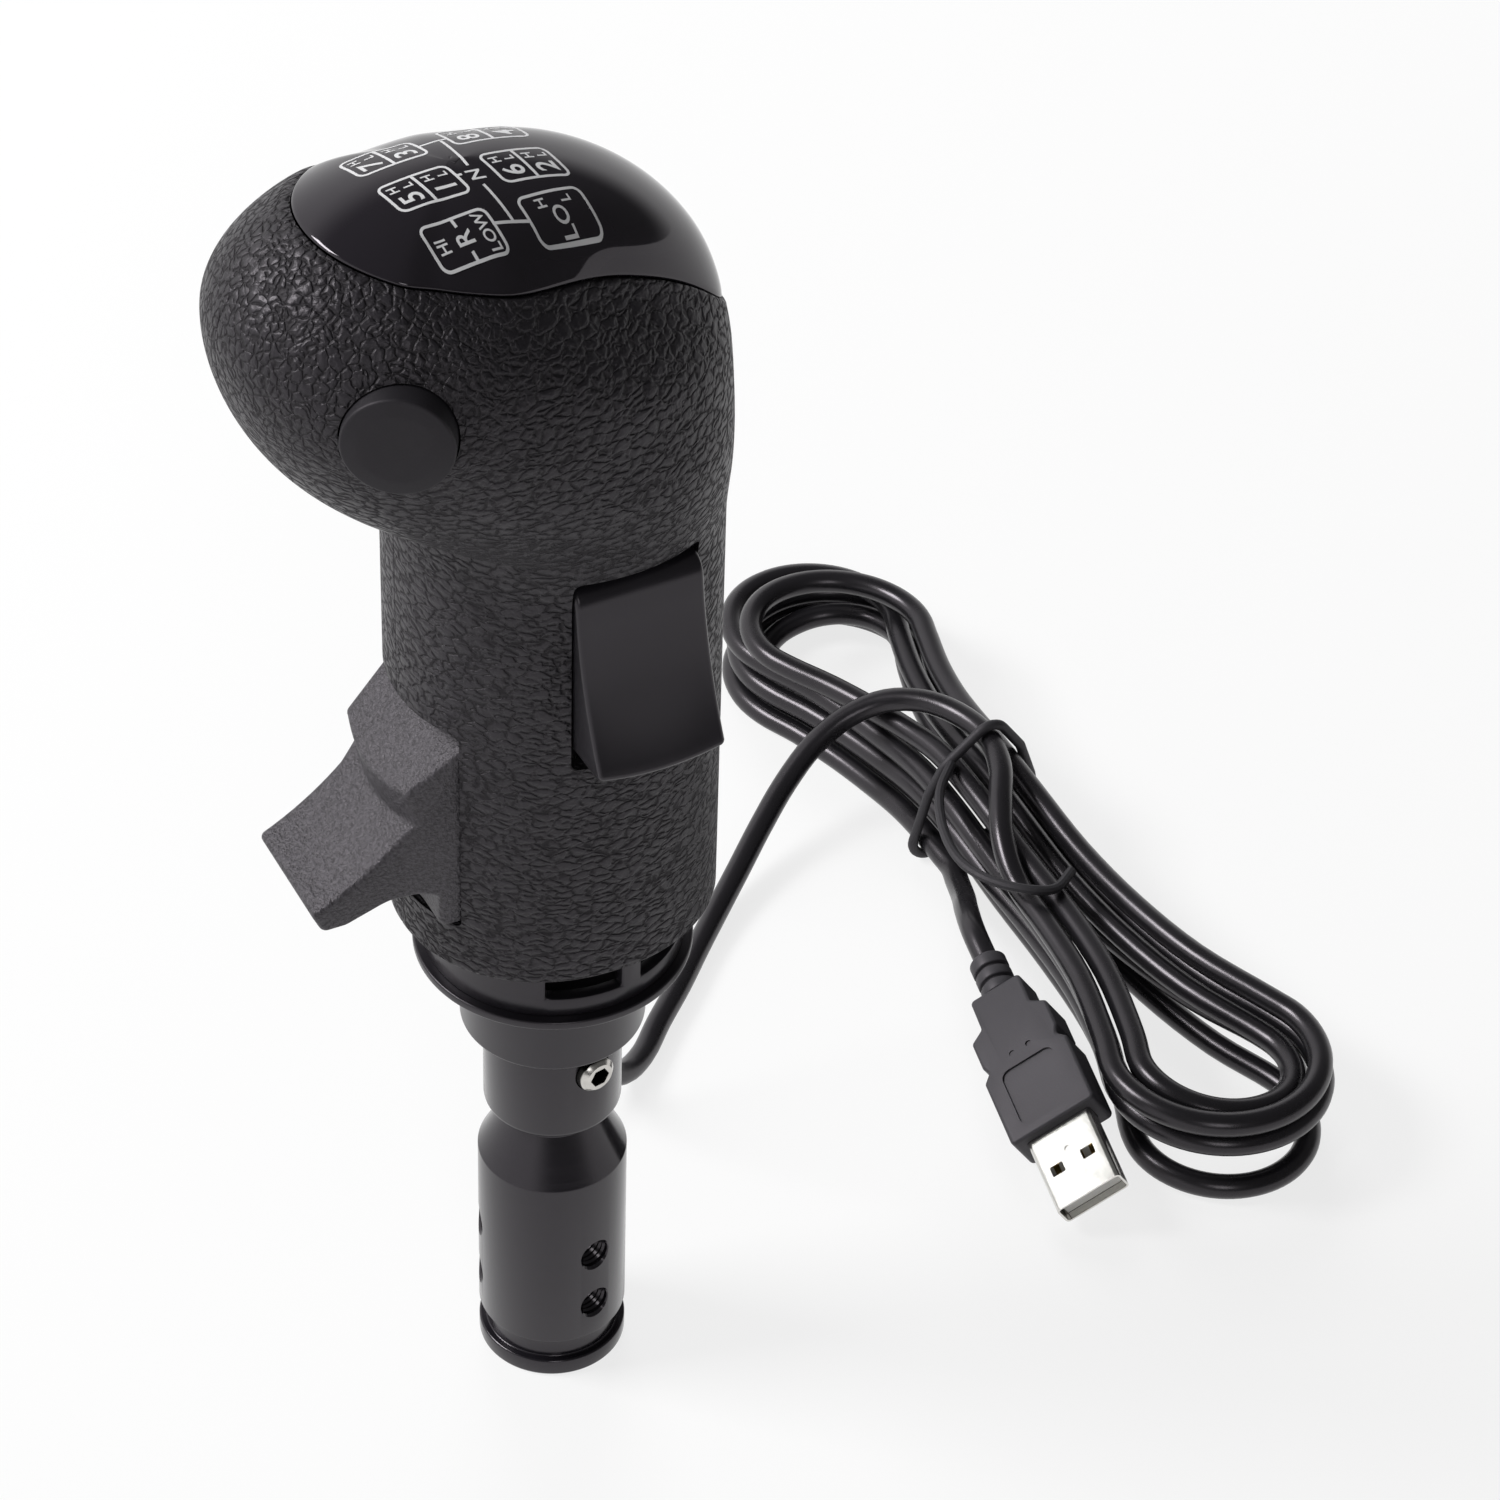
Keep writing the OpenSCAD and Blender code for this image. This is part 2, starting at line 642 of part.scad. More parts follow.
module range_lever() {
    color("#3a3a3d") difference() {
        union() {
            intersection() {
                union() {
                    lever_sweep() lever_paddle_side();
                    intersection() {
                        lever_sweep() lever_ledge_side();
                        lever_ledge_front();
                    }
                }
                translate([0, 0, z_grip]) rotate([0, 0, -90]) linear_extrude(grip_h) lever_plan();
            }
            translate([0, -lever_pivot_front, lever_pivot_z]) {
                across(lever_hub_r, -lever_root_w / 2, lever_root_w / 2);
                across(lever_cam_r, -lever_cam_w / 2, lever_cam_w / 2);
            }
        }
        translate([0, -lever_pivot_front, lever_pivot_z])
            across(lever_pin_d / 2 + fit, -lever_root_w, lever_root_w);
    }
}

module range_lever_pin() {
    color("#b9bbbe") translate([0, -lever_pivot_front, lever_pivot_z])
        across(lever_pin_d / 2, -lever_pin_l / 2, lever_pin_l / 2);
}

// Subminiature switch on the board's left face, with its plunger pointing to the front
module range_switch() {
    x = board_x + board_t;
    reach = board_y[0] + lever_pivot_front - lever_cam_r - 2 * room;
    color("#101012") {
        translate([x, board_y[0], lever_pivot_z - switch_h / 2]) cube([switch_t, switch_l, switch_h]);
        translate([x + switch_t / 2, board_y[0] - reach, lever_pivot_z]) rotate([-90, 0, 0])
            cylinder(d = switch_plunger_d, h = reach);
    }
}

// Profile of the rocker: distance left of the axis, then height
module rocker_side() {
    difference() {
        polygon([rocker_tip, rocker_top, rocker_top - [3, 0], [rocker_pivot_x, rocker_mid + rocker_hub_r],
            [rocker_pivot_x, rocker_mid - rocker_hub_r], [neck_w / 2 - 4, rocker_low + 3.4],
            rocker_tip - [1.4, 1]]);
        scoop(rocker_top, rocker_tip, rocker_face_r);
    }
}

module splitter_rocker() {
    color("#141416") translate([0, rocker_back, 0]) difference() {
        union() {
            translate([0, rocker_w / 2, 0]) rotate([90, 0, 0]) linear_extrude(rocker_w) rocker_side();
            rocker_axis(rocker_hub_r, rocker_w);
        }
        rocker_axis(rocker_pin_d / 2 + fit, rocker_w + 2 * past);
    }
}

module rocker_axis(r, l) {
    translate([rocker_pivot_x, -l / 2, rocker_mid]) rotate([-90, 0, 0]) cylinder(r = r, h = l);
}

module splitter_pin() {
    color("#b9bbbe") translate([0, rocker_back, 0]) rocker_axis(rocker_pin_d / 2, rocker_pin_l);
}

module rocker_ears() {
    color("#232226") difference() {
        intersection() {
            for (side = [-1, 1])
                translate([rocker_pivot_x - 3.5, rocker_back + side * (rocker_w / 2 + room + rocker_ear_t / 2)
                    - rocker_ear_t / 2, rocker_mid - 4]) cube([neck_w / 2, rocker_ear_t, 8]);
            neck_core();
        }
        translate([0, rocker_back, 0]) rocker_axis(rocker_pin_d / 2 + fit / 2, rocker_pin_l + 2 * seat);
    }
}

// Neck drawn in by half a wall, to end ribs inside the moulding
module neck_core() {
    translate([0, 0, z_grip]) linear_extrude(z_swell + 4 - z_grip) neck_inner();
}

module neck_inner() {
    half_l = neck_l / 2 - grip_wall / 2;
    half_w = neck_w / 2 - grip_wall / 2;
    intersection() {
        circle(half_l);
        translate([half_w - half_l, 0]) circle(half_l);
    }
}

module rocker_opening() {
    translate([neck_w / 4, rocker_back, rocker_mid]) rotate([90, 0, 90])
        linear_extrude(neck_w / 2) rounded(rocker_slot_w, rocker_slot_h, 4 * room);
}

module splitter_switch() {
    x = board_x + board_t;
    reach = rocker_pivot_x - rocker_hub_r - 2 * room - x - switch_t;
    color("#101012") {
        translate([x, board_y[0], rocker_mid - switch_h / 2]) cube([switch_t, switch_l, switch_h]);
        translate([x + switch_t, board_y[0] + switch_l / 2, rocker_mid]) rotate([0, 90, 0])
            cylinder(d = switch_plunger_d, h = reach);
    }
}

// Frame of the push button: origin on the cheek, +Z out of the grip
module at_button() {
    translate(button_at) rotate([0, 90, button_turn]) children();
}

module button_cup() {
    at_button() translate([0, 0, -button_depth])
        cylinder(d = button_cup_d, h = button_depth - button_cup_top);
}

module button_bores() {
    at_button() {
        translate([0, 0, -button_wall - past]) cylinder(d = button_d + 4 * fit, h = button_wall + head_w);
        translate([0, 0, -button_depth - past])
            cylinder(d = button_flange_d + 2 * room, h = button_depth - button_wall + past);
    }
}

module push_button() {
    r = button_d / 2;
    low = -button_wall - 2 * seat;
    bevel = 0.7;
    color("#17171a") at_button() rotate_extrude() polygon([
        [0, button_proud], [r - bevel, button_proud], [r, button_proud - bevel], [r, low],
        [button_flange_d / 2, low], [button_flange_d / 2, low - button_flange_t],
        [button_post_d / 2, low - button_flange_t], [button_post_d / 2, low - button_flange_t - button_post_l],
        [0, low - button_flange_t - button_post_l]]);
}

module button_switch() {
    color("#202024") at_button() translate([0, 0, -button_depth]) difference() {
        translate([-button_switch_w / 2, -button_switch_w / 2, 0])
            cube([button_switch_w, button_switch_w, button_switch_h]);
        translate([0, 0, button_switch_h - button_travel - 2 * room])
            cylinder(d = button_post_d + 2 * room, h = button_switch_h);
    }
}

module button_board() {
    color("#1f5a34") at_button() translate([0, 0, -button_depth - button_board_t])
        cylinder(d = button_cup_d, h = button_board_t);
}

module controller_board() {
    color("#1f5a34") difference() {
        translate([board_x, board_y[0], board_z[0]])
            cube([board_t, board_y[1] - board_y[0], board_z[1] - board_z[0]]);
        for (at = board_screw_at) translate([0, at[0], at[1]])
            across(board_screw_d / 2 + seat, board_x - past, board_x + board_t + past);
    }
}

module board_screws() {
    face = board_x + board_t;
    color("#8d8f93") for (at = board_screw_at) translate([0, at[0], at[1]]) {
        across(board_screw_d / 2, board_x - 2 * board_screw_d, face);
        across(board_screw_d, face, face + board_screw_d * 0.7);
    }
}

module cable_header() {
    color("#e8e4d8") translate([board_x - header_size[0], header_y, board_z[0]]) cube(header_size);
}

// Inside run of the cable, from the grommet to the header on the board
inner_route = let (from = grommet_in * heading(grommet_angle) + [0, 0, grommet_z],
    to = [board_x - header_size[0] / 2, header_y + header_size[1] / 2, board_z[0]],
    in = -heading(grommet_angle) * cable_d)
    concat([from, from + in], [for (s = [0.3, 0.55, 0.8])
        from + in + [(to[0] - from[0] - in[0]) * s, (to[1] - from[1] - in[1]) * s,
        (to[2] - cable_d - from[2]) * s * s]], [to - [0, 0, cable_d], to]);

module inner_cable() {
    color("#1a1a1c") tube(inner_route, cable_d, 8);
}

module cable_grommet() {
    body_in = grommet_in;
    face = skirt_d / 2;
    color("#1a1a1c") translate([0, 0, grommet_z]) rotate([0, 0, grommet_angle]) union() {
        translate([body_in, -window_w / 2 + seat, -window_h / 2 + seat])
            cube([face - body_in, window_w - 2 * seat, window_h - 2 * seat]);
        translate([face, 0, 0]) rotate([0, 90, 0])
            cylinder(d1 = grommet_root_d, d2 = grommet_tip_d, h = grommet_out - face);
    }
}

// Hank of cable on the floor: loops drawn in at the waist, wound in on one layer and out again
// on the next one down. u runs along the hank, v across it.
hank_at = [-72, 114.8];
hank_right = 99;
hank_left = 68;
lobe_r = 18.2;
lane = cable_d + 0.55;
layer = cable_d + 0.45;
hank_waist = 1.75 * lane;
hank_flare = 25;
hank_layers = 4;
hank_turn = 1.25;
hank_first = 0.055;
hank_last = hank_layers * hank_turn;
hank_rings = 44;
// What each pass round a lobe adds to the reach, and how far it bends aside
reach_right = [-3, -3, -3, -7, 0];
reach_left = [-5, 3, 0, 0, 0];
bow_right = [0.05, 0.05, 0.05, 0.08, 0.04];
bow_left = [-0.14, -0.09, -0.05, -0.05, -0.05];
bow_soft = 20;
tie_lift = tie_d + 0.3;
tie_soft = 16;
climb_half = 0.13;
straight_share = 0.42;

function hermite(a, b, m, n, s) = let (q = s * s, c = q * s)
    a * (2 * c - 3 * q + 1) + m * (c - 2 * q + s) + b * (3 * q - 2 * c) + n * (c - q);
function hank_lane(t) = let (m = t / hank_turn, i = floor(m))
    hank_turn * (i % 2 == 0 ? m - i : 1 - m + i);
function hank_fall(t, j = 1) = j == hank_layers ? 0
    : ease((t - j * hank_turn + climb_half) / (2 * climb_half)) + hank_fall(t, j + 1);
function hank_pass(t) = min(floor(t), len(reach_right) - 1);
// Quarter of a loop from its waist, f = 0, to the end of its lobe, f = 1
function hank_quarter(f, reach, k) =
    let (r = lobe_r - lane * k, b = hank_waist - lane * k, c = reach - lobe_r,
         end = [c - r * sin(hank_flare), r * cos(hank_flare)], l = norm(end - [0, b]))
    f < straight_share
        ? hermite([0, b], end, [l, 0], l * [cos(hank_flare), sin(hank_flare)], f / straight_share)
        : let (a = (90 + hank_flare) * (1 - f) / (1 - straight_share)) [c + r * cos(a), r * sin(a)];
function hank_flat(t) =
    let (p = t - floor(t), k = hank_lane(t), n = hank_pass(t),
         right = hank_right + reach_right[n], left = hank_left + reach_left[n])
    p < 0.25 ? let (q = hank_quarter(p * 4, right, k)) [q[0], -q[1]]
    : p < 0.5 ? hank_quarter(2 - p * 4, right, k)
    : p < 0.75 ? let (q = hank_quarter(p * 4 - 2, left, k)) [-q[0], q[1]]
    : let (q = hank_quarter(4 - p * 4, left, k)) [-q[0], -q[1]];
function hank_bend(u, n) = let (away = sqrt(u * u + bow_soft * bow_soft) - bow_soft)
    away * (u > 0 ? bow_right[n] : bow_left[n]);
function on_hank(u, v, z, n) = [hank_at[0] + u, hank_at[1] + v + hank_bend(u, n), z];
function hank_point(t) = let (q = hank_flat(t), lift = tie_lift * exp(-pow(q[0] / tie_soft, 2)))
    on_hank(q[0], q[1], cable_d / 2 + lift + layer * (hank_layers - 1 - hank_fall(t)), hank_pass(t));
function hank_way(t) = unit(hank_point(t + 0.002) - hank_point(t - 0.002));
function level_way(v) = unit([v[0], v[1], 0]);

hank_count = round((hank_last - hank_first) * hank_rings);
hank_start = hank_point(hank_first);
hank_end = hank_point(hank_last);
hank_route = concat([hank_start - cable_d * level_way(hank_way(hank_first))],
    [for (i = [0 : hank_count]) hank_point(hank_first + (hank_last - hank_first) * i / hank_count)],
    [hank_end + cable_d * level_way(hank_way(hank_last))]);

// Least gap between runs of the hank, measured on points two diameters apart or more
gap_step = 1 / 72;
gap_points = [for (t = [hank_first : gap_step : hank_last]) hank_point(t)];
gap_apart = 8;
hank_gap = min([for (i = [0 : len(gap_points) - 1]) for (j = [i + gap_apart : 1 : len(gap_points) - 1])
    norm(gap_points[i] - gap_points[j])]) - cable_d;
hank_length = [for (i = 1, l = 0; i < len(gap_points);
    l = l + norm(gap_points[i] - gap_points[i - 1]), i = i + 1) l];
echo(hank_gap = hank_gap, hank_length = hank_length[len(hank_length) - 1]);

module usb_cable_hank() {
    color("#1a1a1c") tube(hank_route, cable_d, 6);
}

// Lead from the grommet down to the floor, along it and over the hank's waist
lead_cross = [-72.5, 117.3, 23.1];
lead_exit = grommet_out * heading(grommet_angle) + [0, 0, grommet_z];
lead_route = concat([lead_exit, lead_exit + cable_d * heading(grommet_angle)], [
    [-36, 7, 92], [-41, 8, 89], [-44, 9, 84], [-45.5, 10, 77], [-45.5, 11, 69], [-44.5, 12, 60],
    [-43.5, 13.5, 51], [-42.5, 15, 42], [-41.5, 17, 33], [-40.5, 19.5, 24], [-40, 23, 15.5],
    [-40.5, 27.5, 8.5], [-42.5, 33, 4], [-46.5, 38.5, 2.3], [-52.5, 44.5, 2.2], [-59, 51.5, 2.2],
    [-66, 58.5, 2.3], [-72.5, 65.5, 3], [-78.5, 72.5, 4.7], [-84, 79.5, 7.6], [-88.5, 86.5, 11.4],
    [-91.5, 93.5, 15.3], [-92.3, 100.5, 18.7], [-90.6, 107, 21.2], [-86.4, 112.2, 22.5],
    [-80.3, 115.8, 22.9], lead_cross, [-65, 115.6, 23], [-58.5, 112.2, 22.1], [-52.4, 109.2, 20.3],
    [-46.8, 107.8, 17.9]],
    [hank_route[0] - cable_d * level_way(hank_way(hank_first)) + [0, 0, 0.25], hank_route[0]]);

module usb_cable_lead() {
    color("#1a1a1c") tube(lead_route, cable_d, 8);
}

// Plug leaning on the hank, one edge on the floor
plug_at = [-33, 96.2, 12.1];
plug_turn = [33, 6, -9];
plug_way = [cos(plug_turn[1]) * cos(plug_turn[2]), cos(plug_turn[1]) * sin(plug_turn[2]), -sin(plug_turn[1])];
hank_tail = hank_route[len(hank_route) - 1];
tail_route = concat([hank_tail, hank_tail + cable_d * unit(hank_tail - hank_end)],
    [[-59.5, 105.3, 4.8], [-53.2, 103, 7.1], [-47.2, 100.1, 10.4]],
    [plug_at - 1.6 * cable_d * plug_way, plug_at]);

module usb_cable_tail() {
    color("#1a1a1c") tube(tail_route, cable_d, 8);
}

// Wire tie: a ring of wire drawn taut round the runs of cable at the waist of the hank
tie_low = cable_d / 2 + tie_lift;
tie_high = tie_low + (hank_layers - 1) * layer;
tie_hold = [[-hank_waist, tie_low], [hank_waist - lane / 2, tie_low],
    [hank_waist, (tie_low + tie_high) / 2], [hank_waist - lane / 2, tie_high],
    [lead_cross[1] - hank_at[1], lead_cross[2]], [lane - hank_waist, tie_high],
    [lane / 2 - hank_waist, tie_high - layer]];
tie_bend = (cable_d + tie_d) / 2 + 0.2;
tie_steps = 4;
function tie_side(i) = let (n = len(tie_hold), d = tie_hold[(i + 1) % n] - tie_hold[(i + n) % n])
    atan2(d[1], d[0]) - 90;
function tie_arc(i) = let (from = tie_side(i - 1), turn = tie_side(i) - from)
    [for (s = [0 : tie_steps]) let (a = from + (turn < 0 ? turn + 360 : turn) * s / tie_steps)
        tie_hold[i] + tie_bend * [cos(a), sin(a)]];
tie_ring = [for (i = [0 : len(tie_hold) - 1]) for (p = tie_arc(i)) on_hank(0, p[0], p[1], 0)];

module cable_tie() {
    ring = tie_ring;
    n = len(ring);
    sides = 6;
    points = [for (i = [0 : n - 1])
        let (t = unit(ring[(i + 1) % n] - ring[(i + n - 1) % n]), a = [1, 0, 0], b = cross(t, a))
        for (s = [0 : sides - 1]) ring[i] + tie_d / 2 * (a * cos(360 * s / sides) + b * sin(360 * s / sides))];
    faces = [for (r = [0 : n - 1]) for (s = [0 : sides - 1])
        let (a = r * sides + s, b = r * sides + (s + 1) % sides,
             c = ((r + 1) % n) * sides + (s + 1) % sides, d = ((r + 1) % n) * sides + s)
        each [[a, b, c], [a, c, d]]];
    color("#161618") polyhedron(points, faces);
}

// Frame of the plug: origin where the cable enters, +X towards the tip
boot_l = 8;
boot_d = 6.4;
neck_plug_w = 9.6;
neck_plug_l = 6.5;
shell_w = 12;
shell_h = 4.5;
shell_wall = 0.35;
shell_inside = 6;
shell_round = 0.8;
tongue_t = 1.9;
contact_count = 4;
contact_pitch = 2.25;
contact_w = 1;
contact_t = 0.15;
module at_plug() {
    translate(plug_at) rotate(plug_turn) children();
}

module plug_boot() {
    r = boot_d / 2;
    rib = boot_l / 3;
    groove = 0.7;
    color("#2b2b2e") at_plug() rotate([0, 90, 0]) rotate_extrude() polygon([
        [0, 0], [r - 0.4, 0], [r, 0.4], [r, rib], [r - groove, rib], [r - groove, rib + groove],
        [r, rib + groove], [r, 2 * rib], [r - groove, 2 * rib], [r - groove, 2 * rib + groove],
        [r, 2 * rib + groove], [r, boot_l], [0, boot_l]]);
}

// Plan of the overmould from the boot to the shell, with finger notches
module plug_plan() {
    w = plug_w / 2;
    n = neck_plug_w / 2;
    notch = 0.7;
    half = [[0, n], [neck_plug_l, n], [neck_plug_l + 1.6, w - notch], [plug_l * 0.45, w - notch],
        [plug_l * 0.5, w - 2 * notch], [plug_l * 0.55, w], [plug_l, w]];
    polygon(concat(half, [for (i = [len(half) - 1 : -1 : 0]) [half[i][0], -half[i][1]]]));
}

module plug_side() {
    t = plug_t / 2;
    polygon([[0, -t + 0.6], [neck_plug_l, -t], [plug_l, -t], [plug_l, t], [neck_plug_l, t], [0, t - 0.6]]);
}

module plug_body() {
    panel = 0.4;
    panel_l = plug_l * 0.38;
    panel_w = plug_w * 0.62;
    color("#3c3b40") at_plug() translate([boot_l, 0, 0]) difference() {
        intersection() {
            translate([0, 0, -plug_t]) linear_extrude(2 * plug_t) plug_plan();
            translate([0, plug_w, 0]) rotate([90, 0, 0]) linear_extrude(2 * plug_w) plug_side();
        }
        translate([plug_l * 0.55, -panel_w / 2, plug_t / 2 - panel]) cube([panel_l, panel_w, past]);
        translate([plug_l - shell_inside, 0, 0]) shell_block(shell_w + seat, shell_h + seat, shell_inside + past);
    }
}

module shell_block(w, h, l) {
    rotate([90, 0, 90]) linear_extrude(l) rounded(w, h, shell_round);
}

module plug_shell() {
    hole = [2.4, 2];
    color("#d6d4cf") at_plug() translate([boot_l + plug_l - shell_inside, 0, 0]) difference() {
        shell_block(shell_w, shell_h, shell_inside + shell_show);
        translate([shell_wall, 0, 0]) shell_block(shell_w - 2 * shell_wall, shell_h - 2 * shell_wall,
            shell_inside + shell_show);
        for (side = [-1, 1]) translate([shell_inside + shell_show * 0.45, side * 2.9 - hole[0] / 2, -shell_h])
            cube([hole[1], hole[0], 2 * shell_h]);
    }
}

module plug_tongue() {
    l = shell_inside + shell_show - 1.4;
    w = shell_w - 2 * shell_wall - shell_round - 2 * seat;
    top = shell_h / 2 - shell_wall - seat;
    color("#e9e7e2") at_plug() translate([boot_l + plug_l - shell_inside + shell_wall, -w / 2, -top])
        cube([l - shell_wall, w, tongue_t]);
}

module plug_contacts() {
    z = -(shell_h / 2 - shell_wall - seat) + tongue_t;
    color("#c9a24a") at_plug() for (i = [0 : contact_count - 1])
        translate([boot_l + plug_l + 2, (i - (contact_count - 1) / 2) * contact_pitch - contact_w / 2, z])
            cube([shell_show - 4.4, contact_w, contact_t]);
}

shaft_adapter();
clamp_sleeve();
sleeve_set_screw();
base_collar();
collar_bolt();
grip_shell_left();
grip_shell_right();
shell_screws();
top_cap();
range_lever();
range_lever_pin();
range_switch();
splitter_rocker();
splitter_pin();
splitter_switch();
push_button();
button_switch();
button_board();
controller_board();
board_screws();
cable_header();
inner_cable();
cable_grommet();
usb_cable_lead();
usb_cable_hank();
usb_cable_tail();
cable_tie();
plug_boot();
plug_body();
plug_shell();
plug_tongue();
plug_contacts();
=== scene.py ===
"""Truck-style gear knob for a driving simulator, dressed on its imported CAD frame.

Points are worked out in millimetres, in the CAD's own frame, and become metres when a mesh is made.
+Z is up along the shaft, -Y is the front, +X is the driver's left.
"""
import math

import bmesh
import bpy
import numpy as np
from mathutils import Euler, Matrix, Vector


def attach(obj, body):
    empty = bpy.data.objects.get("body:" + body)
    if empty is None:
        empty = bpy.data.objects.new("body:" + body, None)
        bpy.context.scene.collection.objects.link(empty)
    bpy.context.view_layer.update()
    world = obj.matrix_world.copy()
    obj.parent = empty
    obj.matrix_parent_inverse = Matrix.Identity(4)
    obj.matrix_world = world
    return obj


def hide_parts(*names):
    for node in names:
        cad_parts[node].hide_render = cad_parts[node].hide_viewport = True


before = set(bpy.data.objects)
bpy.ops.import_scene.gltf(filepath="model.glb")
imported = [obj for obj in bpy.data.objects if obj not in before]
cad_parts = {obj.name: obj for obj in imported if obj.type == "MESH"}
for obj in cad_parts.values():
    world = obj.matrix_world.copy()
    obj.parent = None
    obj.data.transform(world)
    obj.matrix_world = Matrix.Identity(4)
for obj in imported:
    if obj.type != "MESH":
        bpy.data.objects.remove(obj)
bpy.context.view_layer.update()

MM = 0.001
scene = bpy.context.scene
scene.view_settings.view_transform = "Standard"


def new_object(name, data):
    thing = bpy.data.objects.new(name, data)
    scene.collection.objects.link(thing)
    return thing


def frame_at(origin, x_axis, y_axis, z_axis):
    return Matrix([(x_axis[i], y_axis[i], z_axis[i], origin[i]) for i in range(3)] + [(0, 0, 0, 1)])


# Camera of the photograph

SENSOR_WIDTH, LENS = 36.0, 129.6
CAMERA_AT = (0.5330, -0.2512, 0.6336)
CAMERA_RIGHT = (0.4497, 0.8928, 0.0255)
CAMERA_UP = (-0.5948, 0.2780, 0.7543)
CAMERA_BACK = (0.6664, -0.3543, 0.6561)


def place_camera():
    camera_data = bpy.data.cameras.new("photo_camera")
    camera_data.sensor_width = SENSOR_WIDTH
    camera_data.lens = LENS
    camera_data.clip_start = 0.05
    camera_data.clip_end = 20.0
    scene.camera = new_object("photo_camera", camera_data)
    scene.camera.matrix_world = frame_at(CAMERA_AT, CAMERA_RIGHT, CAMERA_UP, CAMERA_BACK)


place_camera()


# Mesh making

# Shading breaks where faces meet at more than SHARP degrees. Points closer than WELD millimetres are merged.
SHARP, SHARP_HANDLED, SHARP_ROUND = 35.0, 40.0, 50.0
WELD, WELD_FINE = 0.0005, 0.00005


def soften_shading(mesh, sharp):
    mesh.shade_smooth()
    mesh.set_sharp_from_angle(angle=math.radians(sharp))


def tidy_mesh(mesh, weld):
    """Merges doubles and turns the faces outwards."""
    bm = bmesh.new()
    bm.from_mesh(mesh)
    bmesh.ops.remove_doubles(bm, verts=bm.verts, dist=weld * MM)
    bmesh.ops.dissolve_degenerate(bm, edges=bm.edges, dist=weld * MM * 0.1)
    bmesh.ops.recalc_face_normals(bm, faces=bm.faces)
    bm.to_mesh(mesh)
    bm.free()
    mesh.update()


def solid(name, points, faces, sharp=SHARP, weld=WELD):
    """Closed mesh from points in millimetres."""
    mesh = bpy.data.meshes.new(name)
    mesh.from_pydata((np.asarray(points, float) * MM).tolist(), [], faces)
    tidy_mesh(mesh, weld)
    soften_shading(mesh, sharp)
    return new_object(name, mesh)


def evaluated_mesh(thing):
    bpy.context.view_layer.update()
    return bpy.data.meshes.new_from_object(thing.evaluated_get(bpy.context.evaluated_depsgraph_get()))


def apply_modifiers(thing, sharp=SHARP):
    mesh = evaluated_mesh(thing)
    thing.modifiers.clear()
    old = thing.data
    thing.data = mesh
    mesh.name = thing.name
    bpy.data.meshes.remove(old)
    soften_shading(mesh, sharp)


def drop(*things):
    for thing in things:
        mesh = thing.data
        bpy.data.objects.remove(thing)
        if mesh.users == 0:
            bpy.data.meshes.remove(mesh)


def cut(thing, *cutters, sharp=SHARP):
    """Takes the cutters out of a piece, and uses them up."""
    for cutter in cutters:
        mod = thing.modifiers.new("cut", "BOOLEAN")
        mod.operation = "DIFFERENCE"
        mod.solver = "EXACT"
        mod.object = cutter
    apply_modifiers(thing, sharp)
    drop(*cutters)
    return thing


def ease_edges(thing, width):
    mod = thing.modifiers.new("eased", "BEVEL")
    mod.width = width * MM
    mod.segments = 2
    mod.limit_method = "ANGLE"
    mod.angle_limit = math.radians(40.0)
    mod.use_clamp_overlap = True
    apply_modifiers(thing)


def join(name, *things):
    """One mesh from several pieces, which are used up."""
    bm = bmesh.new()
    for thing in things:
        bm.from_mesh(thing.data)
    mesh = bpy.data.meshes.new(name)
    bm.to_mesh(mesh)
    bm.free()
    drop(*things)
    soften_shading(mesh, SHARP)
    return new_object(name, mesh)


def grid_faces(rows, columns, wrap_rows=False, wrap_columns=True):
    """Quads of a grid of points that is stored row by row."""
    faces = []
    for r in range(rows if wrap_rows else rows - 1):
        for c in range(columns if wrap_columns else columns - 1):
            near, far, beside = r * columns, (r + 1) % rows * columns, (c + 1) % columns
            faces.append((near + c, near + beside, far + beside, far + c))
    return faces


def end_faces(rows, columns):
    """The two faces that close the first and the last row of such a grid."""
    return [tuple(range(columns - 1, -1, -1)), tuple(range((rows - 1) * columns, rows * columns))]


# Places and outlines

def heading(angle):
    return np.array([math.cos(math.radians(angle)), math.sin(math.radians(angle)), 0.0])


def unit(v):
    return np.asarray(v, float) / np.linalg.norm(v)


def ease(t):
    t = np.clip(t, 0.0, 1.0)
    return t * t * (3 - 2 * t)


def out_of_axis(angle, height):
    """Frame whose +Z points away from the shaft's axis at an angle in plan, at a height."""
    return frame_at((0, 0, height), heading(angle + 90), (0, 0, 1), heading(angle))


def placed(points, place):
    if place is None:
        return points
    m = np.array(place)
    return points @ m[:3, :3].T + m[:3, 3]


def set_down(thing, place):
    """Moves a piece made in its own frame to its place."""
    thing.data.transform(Matrix.Translation(place.translation * MM) @ place.to_3x3().to_4x4())
    return thing


LONGEST_ROUND, STRAIGHT = 0.48, 0.02


